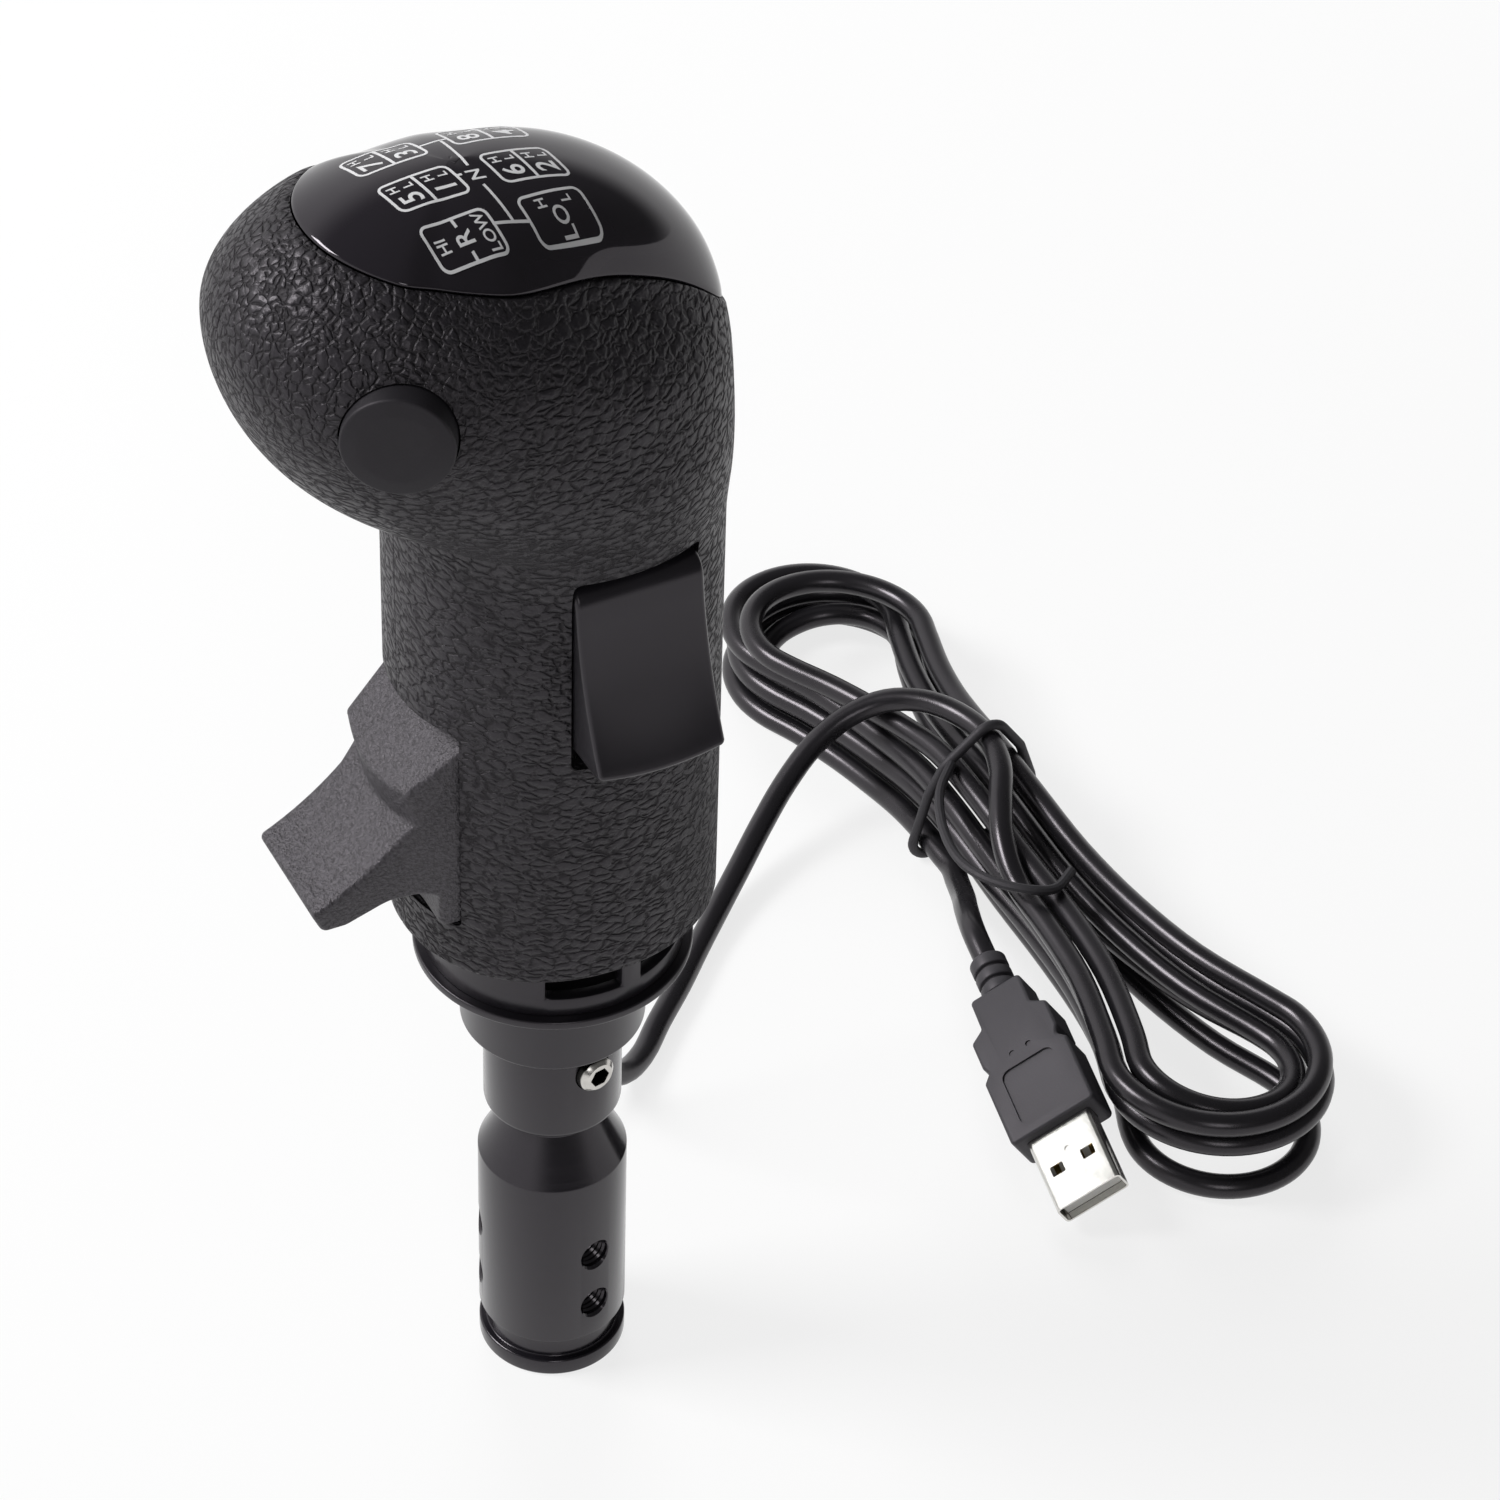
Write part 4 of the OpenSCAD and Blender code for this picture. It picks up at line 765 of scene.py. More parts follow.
BOOT_L, BOOT_R, BOOT_GROOVE = 8.0, 3.2, 0.7
PLUG_L, PLUG_W, PLUG_T, PLUG_NECK_W, PLUG_NECK_L, PLUG_NOTCH = 30.0, 16.0, 8.0, 9.6, 6.5, 0.7
SHELL_W, SHELL_H, SHELL_WALL, SHELL_SHOW, SHELL_INSIDE = 12.0, 4.5, 0.35, 14.5, 6.0
SHELL_START, SHELL_END = BOOT_L + PLUG_L - SHELL_INSIDE, BOOT_L + PLUG_L + SHELL_SHOW
WINDOW_X, WINDOW_Y = BOOT_L + PLUG_L + SHELL_SHOW * 0.45 + 1, 2.9
ALONG_PLUG = frame_at((0, 0, 0), (0, 1, 0), (0, 0, 1), (1, 0, 0))


def plug_boot():
    r, rib, floor = BOOT_R, BOOT_L / 3, BOOT_R - BOOT_GROOVE
    corners = [(0, 0), (r - 0.5, 0), (r, 0.5)]
    for z in (rib, 2 * rib):
        corners += [(r, z), (floor, z), (floor, z + BOOT_GROOVE), (r, z + BOOT_GROOVE)]
    corners += [(r, BOOT_L), (0, BOOT_L)]
    boot = turned("plug_boot_ribbed", softened(corners, [0] + [0.25] * 11 + [0], 3), 48, ALONG_PLUG)
    return set_down(boot, PLUG)


def plug_overmould():
    w, neck = PLUG_W / 2, PLUG_NECK_W / 2
    half = [(0, neck), (PLUG_NECK_L, neck), (8.1, w - PLUG_NOTCH), (13.5, w - PLUG_NOTCH),
            (15.0, w - 2 * PLUG_NOTCH), (16.5, w), (PLUG_L, w)]
    radii = [0.8, 0.8, 0.8, 0.8, 0.6, 0.8, 0.9]
    outline = softened(half + [(x, -y) for x, y in reversed(half)], radii + radii[::-1]) + (BOOT_L, 0)

    def shape(p, s, x):
        lean = 1 - 0.15 * np.clip((PLUG_NECK_L - (p[:, 0] - BOOT_L)) / PLUG_NECK_L, 0, 1)
        return np.c_[p, x * lean]

    body = slab("plug_overmould", outline, lambda p: np.full(len(p), PLUG_T / 2), 0.55, shape, 3)
    recess = prism("recess", round_box(11.4, 9.9, 1.6) + (BOOT_L + 22.2, 0), PLUG_T / 2 - 0.4, PLUG_T)
    dots = [prism("dot", circle(0.55, 20) + (BOOT_L + 14.0, y), PLUG_T / 2 - 0.3, PLUG_T)
            for y in (-1.6, 1.6)]
    socket = prism("socket", round_box(SHELL_W + 0.1, SHELL_H + 0.1, 0.85), SHELL_START, BOOT_L + PLUG_L + 2,
                   ALONG_PLUG)
    return set_down(cut(body, recess, *dots, socket), PLUG)


def plug_shell():
    inner_w, inner_h = SHELL_W - 2 * SHELL_WALL, SHELL_H - 2 * SHELL_WALL
    shell = prism("plug_metal_shell", round_box(SHELL_W, SHELL_H, 0.8), SHELL_START, SHELL_END, ALONG_PLUG)
    hollow = prism("hollow", round_box(inner_w, inner_h, 0.5), SHELL_START + SHELL_WALL, SHELL_END + 2,
                   ALONG_PLUG)
    windows = [prism("window", round_box(2.0, 2.4, 0.25) + (WINDOW_X, y), -SHELL_H, SHELL_H)
               for y in (-WINDOW_Y, WINDOW_Y)]
    dimple = prism("dimple", circle(0.55, 24) + (WINDOW_X - 2.6, 0), SHELL_H / 2 - 0.18, SHELL_H)
    return set_down(cut(shell, hollow, *windows, dimple), PLUG)


plug_boot_piece = dress(plug_boot(), OVERMOULD, "knob", "plug_plastic", "plug_boot")
plug_body_piece = dress(plug_overmould(), OVERMOULD, "knob", "plug_plastic", "plug_body")
plug_shell_piece = dress(plug_shell(), NICKEL, "knob", "nickel", "plug_shell")

[c * MM for c in cable_exit]


# Grip: horizontal slices, each a front and a rear half superellipse

Z_GRIP, Z_TOP, Z_NOSE, Z_SIDE, Z_REAR, Z_UNDER = 96.0, 228.3, 208.5, 196.4, 194.3, 174.9
NECK_L, NECK_W, HEAD_REACH, HEAD_W, UNDER_H = 48.2, 45.0, 49.0, 56.6, 33.6
CREST_FRONT, WIDE_FRONT, NECK_BLEND, SIDE_BLEND, SIDE_FADE = 15.2, 19.0, 12.0, 11.0, 12.0
VALLEY_DEPTH, VALLEY_Z, VALLEY_FALL, VALLEY_FRONT = 6.5, 213.0, 0.41, 0.25
VALLEY_BELOW, VALLEY_ABOVE = 6.5, 8.0
PLAN_POWER, GRIP_WALL, CAP_WALL = 2.1, 2.6, 2.4
SEAM_FRONT, SEAM_SLOPE = (-37.0, 223.4), 0.24
SEAM_DIP_FROM, SEAM_DIP_LENGTH, SEAM_DIP = -8.0, 25.5, 6.0
SEAM_LOWEST, DOME_LOWEST, CAP_REST = 190.0, 196.0, 2.0
# Rows of the lips at the seam: how far in, then how far below the shells' edge or above the cap's
GRIP_LIP = ((0.06, 0.3), (0.2, 0.1), (0.45, 0.0), (0.95, 0.0), (1.2, 0.3))
CAP_LIP = ((1.2, 0.0), (0.75, 0.05), (0.5, 0.2))


def round_off(u):
    return np.sqrt(np.maximum(0.0, 1 - np.minimum(np.abs(u), 1.0) ** 2))


def soft_max(a, b, k):
    h = np.maximum(k - np.abs(a - b), 0) / k
    return np.maximum(a, b) + h * h * k / 4


def bulge(z, level):
    return np.where(z > level, round_off((z - level) / (Z_TOP - level)), round_off((level - z) / UNDER_H))


def grip_front(z):
    bulb = CREST_FRONT + (HEAD_REACH - CREST_FRONT) * bulge(z, Z_NOSE)
    return np.where(z > Z_NOSE, bulb, soft_max(bulb, NECK_L / 2, NECK_BLEND))


def grip_rear(z):
    return -CREST_FRONT + (NECK_L / 2 + CREST_FRONT) * np.where(
        z > Z_REAR, round_off((z - Z_REAR) / (Z_TOP - Z_REAR)), 1.0)


def grip_half(z):
    """Half width; the fillet under the head fades out towards the head's widest level."""
    side = HEAD_W / 2 * bulge(z, Z_SIDE)
    plain = np.maximum(side, NECK_W / 2)
    fillet = (soft_max(side, NECK_W / 2, SIDE_BLEND) - plain) * ease((Z_SIDE - z) / SIDE_FADE)
    return np.where(z > Z_SIDE, side, plain + fillet)


def grip_wide(z):
    """Where a slice is widest, along Y."""
    up = np.maximum(0.0, z - Z_NOSE) / (Z_TOP - Z_NOSE)
    return -WIDE_FRONT * ease((z - Z_UNDER) / UNDER_H) + (WIDE_FRONT - CREST_FRONT) * up * up


def valley(z, c):
    """Depth of the hollow under the cap; c runs from -1 at the front of a slice to 1 at its rear."""
    w = grip_wide(z)
    y = w + np.where(c > 0, grip_rear(z) - w, grip_front(z) + w) * c
    above = z - VALLEY_Z + VALLEY_FALL * y
    fade = np.where(above < 0, VALLEY_BELOW, VALLEY_ABOVE)
    share = VALLEY_FRONT + (1 - VALLEY_FRONT) * ease((c - 0.05) / 0.6)
    return VALLEY_DEPTH * share * ease((c + 0.55) / 0.3) * np.exp(-(above / fade) ** 2)


def power(v):
    return np.sign(v) * np.abs(v) ** (2 / PLAN_POWER)


def grip_point(z, a, wall):
    """Point of the slice at height z, at an angle in degrees from the rear, inset by a wall."""
    z, a, wall = np.broadcast_arrays(np.asarray(z, float), np.asarray(a, float), np.asarray(wall, float))
    s, c, w = np.sin(np.radians(a)), power(np.cos(np.radians(a))), grip_wide(z)
    x = power(s) * (grip_half(z) - wall - valley(z, c))
    y = np.where(c > 0, w + (grip_rear(z) - wall - w) * c, w + (grip_front(z) - wall + w) * c)
    return np.stack([x, y, z], -1)


def highest(inside, lowest, shape):
    """Height up to which inside(z) holds, between a lowest one and the top of the head."""
    low, high = np.full(shape, lowest), np.full(shape, Z_TOP)
    for _ in range(48):
        z = (low + high) / 2
        held = inside(z)
        low, high = np.where(held, z, low), np.where(held, high, z)
    return low


def seam_line(y):
    """Seam between cap and shells, seen from the side: it falls to the rear and dips at its end."""
    dip = np.maximum(0.0, y - SEAM_DIP_FROM) / SEAM_DIP_LENGTH
    return SEAM_FRONT[1] - SEAM_SLOPE * (y - SEAM_FRONT[0]) - SEAM_DIP * dip ** 3


def seam_height(a):
    """Height at which the cap meets the shells, for each angle."""
    return highest(lambda z: z < seam_line(grip_point(z, a, 0.0)[:, 1]), SEAM_LOWEST, len(a))


def grip_half_mesh(name, side):
    """One moulded half: outer skin, rounded lips at foot, seam and parting line, and the inner skin."""
    coarse = 1
    a = np.concatenate([[0, 0.25, 0.8], np.linspace(1.7, 178.3, 132 // coarse), [179.2, 179.75, 180]])
    part = np.zeros(len(a))
    part[[0, -1]], part[[1, -2]] = 0.1, 0.03
    seam, foot = seam_height(a), Z_GRIP + 0.5
    rows = [grip_point(Z_GRIP, a, 0.6 + part), grip_point(Z_GRIP + 0.12, a, 0.22 + part)]
    rows += [grip_point(foot + (seam - 0.55 - foot) * v, a, part) for v in np.linspace(0, 1, 180 // coarse)]
    rows += [grip_point(seam - below, a, wall + part) for wall, below in GRIP_LIP]
    rows += [grip_point(Z_GRIP + (seam - CAP_REST - Z_GRIP) * v, a, GRIP_WALL)
             for v in np.linspace(1, 0, 50 // coarse)]
    grid = np.array(rows)
    grid[..., 0] = (grid[..., 0] + 0.015) * side
    m, n = grid.shape[:2]
    faces = grid_faces(m, n, wrap_rows=True, wrap_columns=False)
    faces += [tuple(r * n for r in range(m)), tuple(r * n + n - 1 for r in range(m))]
    return solid(name, grid.reshape(-1, 3), faces, SHARP_ROUND, WELD_FINE)


LEVER_PIVOT = (-9.0, 122.0)
LEVER_SLOT = (25.4, 104.4, 140.4)
ROCKER_SLOT = (20.0, 136.5, 170.5)
ROCKER_BACK = 2.6
BUTTON_AT, BUTTON_TURN, BUTTON_D = (24.0, -33.5, 204.5), -30.0, 15.4
SCREWS_AT = ((-27.0, 187.5), (13.1, 193.3), (14.1, 110.5), (-15.1, 151.0))
SCREW_WELL_R = 2.9
FAR_OUT = 60.0
TO_FRONT = frame_at((0, 0, 0), (1, 0, 0), (0, 0, 1), (0, -1, 0))
TO_LEFT = frame_at((0, 0, 0), (0, 1, 0), (0, 0, 1), (1, 0, 0))
AT_BUTTON = frame_at(BUTTON_AT, (0, 0, -1), np.cross(heading(BUTTON_TURN), (0, 0, -1)), heading(BUTTON_TURN))


def slot_cutter(name, slot, middle, corner, start, place):
    """Opening of a width, between two heights, from start outwards."""
    w, low, high = slot
    return prism(name, round_box(w, high - low, corner) + (middle, (low + high) / 2), start, FAR_OUT, place)


def lever_slot_cutter():
    return slot_cutter("lever_slot", LEVER_SLOT, 0.0, 0.9, 9.0, TO_FRONT)


rocker_slot = slot_cutter("rocker_slot", ROCKER_SLOT, ROCKER_BACK, 1.2, 11.0, TO_LEFT)
button_bore = prism("button_bore", circle(BUTTON_D / 2 + 0.25, 72), -12.0, 30.0, AT_BUTTON)
screw_wells = [prism("screw_well", circle(SCREW_WELL_R, 40) + at, -FAR_OUT, -6.0, TO_LEFT)
               for at in SCREWS_AT]
for side_name, side, openings in (("left", 1, [rocker_slot, button_bore]), ("right", -1, screw_wells)):
    shell_half = grip_half_mesh("grip_" + side_name, side)
    cut(shell_half, lever_slot_cutter(), *openings, sharp=SHARP_ROUND)
    dress(shell_half, GRIP, "knob", "grip_plastic", "grip_shell_" + side_name)


def cap_mesh():
    """Gloss cap, seated a little below the shells' lip: inner skin downwards, then outer skin upwards."""
    n, seat, lip = 180, 0.15, 0.45
    a = np.linspace(0, 360, n, endpoint=False)
    seam = seam_height(a) + seat
    rows = []
    for v in np.linspace(1, 0, 18)[1:]:
        z = seam + (Z_TOP - CAP_WALL - seam) * math.sin(v * math.pi / 2)
        rows.append(grip_point(z + CAP_WALL, a, CAP_WALL) - (0, 0, CAP_WALL))
    rows += [grip_point(seam + up, a, wall) for wall, up in CAP_LIP]
    for v in np.linspace(0, 1, 56)[:-1]:
        z = seam + lip + (Z_TOP - seam - lip) * math.sin(v * math.pi / 2)
        rows.append(grip_point(z, a, 0.4 * np.exp(-(z - seam) / 1.6)))
    crests = [(0, -CREST_FRONT, Z_TOP - CAP_WALL), (0, -CREST_FRONT, Z_TOP)]
    faces = grid_faces(len(rows), n)
    for row, crest in ((0, len(rows) * n), (len(rows) - 1, len(rows) * n + 1)):
        faces += [(row * n + c, row * n + (c + 1) % n, crest) for c in range(n)]
    return solid("gloss_cap", np.concatenate([*rows, crests]), faces, SHARP_ROUND, WELD_FINE)


dress(cap_mesh(), CAP, "knob", "gloss_black", "top_cap")


def dome_height(x, y):
    """Height of the cap above a place in plan."""
    def inside(z):
        w = grip_wide(z)
        c = np.where(y > w, (y - w) / (grip_rear(z) - w), (y - w) / (grip_front(z) + w))
        half = np.maximum(grip_half(z) - valley(z, np.clip(c, -1, 1)), 1e-6)
        return (np.abs(x) / half) ** PLAN_POWER + np.abs(c) ** PLAN_POWER < 1

    return highest(inside, DOME_LOWEST, x.shape)


# Shift pattern printed on the cap, read from the driver's left to the right, its top at the knob's front

PRINT_LINE, PRINT_BAR, PRINT_STEP = 0.38, 0.4, 0.6
PRINT_PROUD, PRINT_DEPTH = 0.04, 0.07
LETTER_H, LETTER_BOLD = 0.7, 0.012
REVERSE_CELL = ((15.0, -22.4), (9.4, -23.9), (14.6, -13.0))
CRAWLER_CELL = ((14.1, -8.1), (8.6, -9.6), (12.9, 1.3))
GEAR_CELLS = {
    "51": ((6.3, -24.6), (0.8, -26.0), (6.3, -14.8)),
    "62": ((6.0, -9.7), (0.4, -11.3), (5.4, 0.0)),
    "73": ((-2.9, -26.5), (-8.4, -27.4), (-2.8, -16.7)),
    "84": ((-3.4, -12.5), (-9.4, -13.2), (-3.6, -1.8)),
}
GATE_LINES = (((11.2, -14.1), (11.4, -8.9)), ((11.4, -11.1), (5.6, -12.8)), ((3.2, -15.6), (3.2, -14.8)),
              ((1.8, -13.3), (-5.5, -13.9)), ((-5.5, -16.9), (-5.9, -12.8)))
NEUTRAL_AT, NEUTRAL_ACROSS, NEUTRAL_DOWN = (3.7, -13.1), (-0.97, -0.24), (0, 1.0)


def glyphs(words):
    """Flat letters of size 1, centred across, standing on the base line."""
    font = bpy.data.curves.new("letters", "FONT")
    font.body = words
    font.align_x = "CENTER"
    font.offset = LETTER_BOLD
    font.resolution_u = 4
    thing = new_object("letters", font)
    mesh = evaluated_mesh(thing)
    bm = bmesh.new()
    bm.from_mesh(mesh)
    bmesh.ops.triangulate(bm, faces=bm.faces)
    bmesh.ops.subdivide_edges(bm, edges=bm.edges, cuts=2, use_grid_fill=True)
    bm.to_mesh(mesh)
    bm.free()
    flat = [(v.co.x, v.co.y) for v in mesh.vertices]
    faces = [tuple(p.vertices) for p in mesh.polygons]
    bpy.data.objects.remove(thing)
    bpy.data.curves.remove(font)
    bpy.data.meshes.remove(mesh)
    return flat, faces


class PatternPrint:
    """Flat strokes and letters, gathered as points and faces."""

    def __init__(self):
        self.points, self.faces = [], []

    def add(self, flat, faces):
        base = len(self.points)
        self.points += [tuple(p) for p in flat]
        self.faces += [tuple(base + i for i in f) for f in faces]

    def stroke(self, path, width=PRINT_LINE, closed=False):
        path = np.asarray(path, float)
        if closed:
            path = np.concatenate([path, path[:1]])
        dense = [path[0]]
        for a, b in zip(path[:-1], path[1:]):
            steps = max(1, int(np.linalg.norm(b - a) / PRINT_STEP))
            dense += [a + (b - a) * s / steps for s in range(1, steps + 1)]
        dense = np.array(dense)
        way = np.gradient(dense, axis=0)
        if closed:
            way[0] = way[-1] = dense[1] - dense[-2]
        way /= np.linalg.norm(way, axis=1)[:, None]
        side = np.c_[-way[:, 1], way[:, 0]] * width / 2
        self.add(np.concatenate([dense + side, dense - side]), grid_faces(2, len(dense), wrap_columns=False))

    def letters(self, words, middle, across, down, height):
        flat, faces = glyphs(words)
        size = height / LETTER_H
        self.add([middle + across * x * size - down * (y - LETTER_H / 2) * size for x, y in flat], faces)


class Cell:
    """Round-cornered box of the pattern, given by its upper left, upper right and lower left corners."""

    def __init__(self, sheet, corners):
        self.sheet = sheet
        self.corner, far, low = (np.array(p) for p in corners)
        self.across, self.down = far - self.corner, low - self.corner
        wide, tall = np.linalg.norm(self.across), np.linalg.norm(self.down)
        box = softened([(0, 0), (wide, 0), (wide, tall), (0, tall)], 1.0, 5)
        sheet.stroke([self.corner + unit(self.across) * x + unit(self.down) * y for x, y in box], closed=True)

    def at(self, u, v):
        return self.corner + self.across * u + self.down * v

    def bar(self, start, end):
        self.sheet.stroke([self.at(start, 0.5), self.at(end, 0.5)], PRINT_BAR)

    def letters(self, *labels):
        for words, u, v, height in labels:
            self.sheet.letters(words, self.at(u, v), unit(self.across), unit(self.down), height)


def print_pattern():
    sheet = PatternPrint()
    reverse = Cell(sheet, REVERSE_CELL)
    reverse.letters(("HI", 0.5, 0.17, 1.5), ("R", 0.5, 0.5, 2.3), ("LOW", 0.5, 0.84, 1.5))
    reverse.bar(0.0, 0.22)
    reverse.bar(0.78, 1.0)
    Cell(sheet, CRAWLER_CELL).letters(("LO", 0.36, 0.5, 2.0), ("H", 0.78, 0.3, 1.4), ("L", 0.78, 0.7, 1.4))
    for digits, corners in GEAR_CELLS.items():
        gear = Cell(sheet, corners)
        gear.bar(0.0, 1.0)
        for digit, v in zip(digits, (0.25, 0.75)):
            gear.letters((digit, 0.32, v, 2.9), ("H", 0.74, v - 0.105, 1.35), ("L", 0.74, v + 0.105, 1.35))
    for path in GATE_LINES:
        sheet.stroke(path)
    sheet.letters("N", *(np.array(p) for p in (NEUTRAL_AT, NEUTRAL_ACROSS, NEUTRAL_DOWN)), 2.0)
    flat = np.array(sheet.points)
    points = np.c_[flat, dome_height(flat[:, 0], flat[:, 1]) + PRINT_PROUD]
    mesh = bpy.data.meshes.new("cap_shift_pattern")
    mesh.from_pydata((points * MM).tolist(), [], sheet.faces)
    bm = bmesh.new()
    bm.from_mesh(mesh)
    for face in bm.faces:
        face.normal_update()
        if face.normal.z < 0:
            face.normal_flip()
    bm.to_mesh(mesh)
    bm.free()
    thing = new_object("cap_shift_pattern", mesh)
    ink = thing.modifiers.new("ink", "SOLIDIFY")
    ink.thickness = PRINT_DEPTH * MM
    ink.offset = -1.0
    apply_modifiers(thing)
    return thing


dress(print_pattern(), PRINT, "knob", "print_white")


# Range lever: distances in front of the axis, then heights

LEVER_ROOT, LEVER_HALF, LEVER_HUB_R, LEVER_CAM_R, LEVER_BORE_R = 12.4, 10.0, 4.2, 8.4, 1.55
LEVER_SHELF, LEVER_FOLD, LEVER_TIP, LEVER_SCOOP = (19.5, 137.6), (26.4, 124.6), (42.3, 112.6), 45.0
LEDGE_FOOT, LEDGE_LEAN, LEDGE_FALL, LEDGE_LOWEST = 28.23, 1.5 / 5.9, 7.1 / 8.5, 120.0
LEVER_FOOT, LEVER_FOOT_Z, LEVER_TUCK = 23.4, (110.8, 105.0), 0.15
NARROW_FROM, NARROW_OVER, TAPER_FROM, TAPER_OVER, TAPER = 21.5, 7.5, 29.0, 14.0, 0.2


def lever_section(x, scoop):
    """Side view of the lever at x: shelf, ledge with its round front, hollow paddle, arched underside."""
    def scooped(z):
        return np.interp(-z, -scoop[:, 1], scoop[:, 0])

    heights = np.linspace(LEVER_SHELF[1], LEDGE_LOWEST, 400)
    front = np.sqrt((LEDGE_FOOT + LEDGE_LEAN * (heights - LEVER_FOLD[1])) ** 2 - x * x)
    slope = LEVER_SHELF[0] + (LEVER_SHELF[1] - heights) / LEDGE_FALL
    top = int(np.argmax(slope > front))
    foot = int(np.argmax((scooped(heights) > front) & (heights < LEVER_FOLD[1])))
    low = heights[foot]
    neck = NECK_L / 2 * (1 - (abs(x) / (NECK_W / 2)) ** PLAN_POWER) ** (1 / PLAN_POWER)
    wall = max(LEVER_FOOT, neck - LEVER_TUCK)
    blade = [(scooped(z), z) for z in np.linspace(low, LEVER_TIP[1], 13)[1:-1]]
    corners = [(9.0, 126.2), (18.5, 138.0), LEVER_SHELF, (front[top], heights[top]), (front[foot], low),
               *blade, LEVER_TIP, (40.6, 108.8), (37.0, 108.8), (31.0, 110.8), (26.2, 111.4),
               (wall, LEVER_FOOT_Z[0]), (wall, LEVER_FOOT_Z[1]), (18.5, LEVER_FOOT_Z[1]), (9.0, 117.8)]
    radii = [0, 0.5, 2.0, 0.9, 1.3] + [0] * len(blade) + [1.0, 1.3, 3.0, 9.0, 4.0, 1.2, 0.9, 0.5, 0]
    return softened(corners, radii, 5)


def drum(name, bore, r, half, steps, place):
    """Round boss with a bore, as wide to both sides."""
    return turned(name, [(bore, -half), (r, -half), (r, half), (bore, half)], steps, place)


def range_lever():
    scoop = np.array(arc_between(LEVER_FOLD, LEVER_TIP, LEVER_SCOOP, 48))

    def half(p):
        narrow = np.clip((p[:, 0] - NARROW_FROM) / NARROW_OVER, 0, 1)
        taper = np.clip((p[:, 0] - TAPER_FROM) / TAPER_OVER, 0, 1)
        return LEVER_ROOT + (LEVER_HALF - LEVER_ROOT) * narrow - TAPER * taper

    arm = slab("range_lever_arm", lambda s: lever_section(s * LEVER_HALF, scoop), half, 0.7,
               lambda p, s, x: np.c_[x, -p[:, 0], p[:, 1]], 17, SHARP_HANDLED)
    axle = frame_at((0, *LEVER_PIVOT), (0, 1, 0), (0, 0, 1), (1, 0, 0))
    hub = drum("lever_hub", LEVER_BORE_R, LEVER_HUB_R, LEVER_ROOT, 40, axle)
    cam = drum("lever_cam", LEVER_BORE_R, LEVER_CAM_R, 4.0, 48, axle)
    return join("range_lever_paddle", arm, hub, cam)


dress(range_lever(), LEVER, "lever", "lever_plastic", "range_lever")


# Splitter rocker: distances left of the axis, then heights

ROCKER_TOP, ROCKER_TIP, ROCKER_FACE_R, ROCKER_HALF = (22.3, 168.5), (30.5, 141.5), 70.0, 9.7
ROCKER_PIVOT, ROCKER_HUB_R, ROCKER_BORE_R = (13.0, 153.5), 4.0, 1.3
LIP_BOW, LIP_FROM_Z, LIP_OVER_Z, LIP_FROM_X, LIP_OVER_X = 1.3, 152.0, 11.0, 18.0, 8.0


def splitter_rocker():
    arc = arc_between(ROCKER_TOP, ROCKER_TIP, ROCKER_FACE_R, 18)
    face = arc[:1] + arc[4:]
    corners = face + [(29.1, 140.5), (18.5, 139.9), (13.0, 149.5), (13.0, 157.5), (16.6, 168.5)]
    radii = [3.0] + [0.0] * (len(face) - 2) + [0.7, 0.7, 1.0, 0.0, 0.0, 1.0]

    def shape(p, s, x):
        lip = ease((LIP_FROM_Z - p[:, 1]) / LIP_OVER_Z) * ease((p[:, 0] - LIP_FROM_X) / LIP_OVER_X)
        return np.c_[p[:, 0], x + ROCKER_BACK, p[:, 1] - LIP_BOW * (1 - s * s) * lip]

    body = slab("splitter_rocker_face", softened(corners, radii, 5), lambda p: np.full(len(p), ROCKER_HALF),
                0.7, shape, 13, SHARP_HANDLED)
    axle = frame_at((ROCKER_PIVOT[0], ROCKER_BACK, ROCKER_PIVOT[1]), (1, 0, 0), (0, 0, -1), (0, 1, 0))
    hub = drum("rocker_hub", ROCKER_BORE_R, ROCKER_HUB_R, ROCKER_HALF, 40, axle)
    return join("splitter_rocker_key", body, hub)


dress(splitter_rocker(), SATIN, "rocker", "satin_black", "splitter_rocker")


# Push button, in its own frame

BUTTON_CROWN, BUTTON_RIM, BUTTON_LOW = 1.6, 1.1, -8.7
BUTTON_FLANGE_R, BUTTON_FLANGE_T, BUTTON_POST_R, BUTTON_POST_L = 8.7, 1.2, 1.6, 4.0


def push_button():
    r, flange = BUTTON_D / 2, BUTTON_LOW - BUTTON_FLANGE_T
    corners = [(0, BUTTON_CROWN), (r - 2.4, BUTTON_CROWN - 0.15), (r, BUTTON_RIM), (r, BUTTON_LOW),
               (BUTTON_FLANGE_R, BUTTON_LOW), (BUTTON_FLANGE_R, flange), (BUTTON_POST_R, flange),
               (BUTTON_POST_R, flange - BUTTON_POST_L), (0, flange - BUTTON_POST_L)]
    radii = [0, 6.0, 0.5, 0, 0.2, 0.2, 0, 0.2, 0]
    return turned("push_button_cap", softened(corners, radii, 6), 96, AT_BUTTON)


dress(push_button(), BUTTON, "button", "satin_black", "push_button")


# Shaft adapter, sleeve and collar: radii, then heights

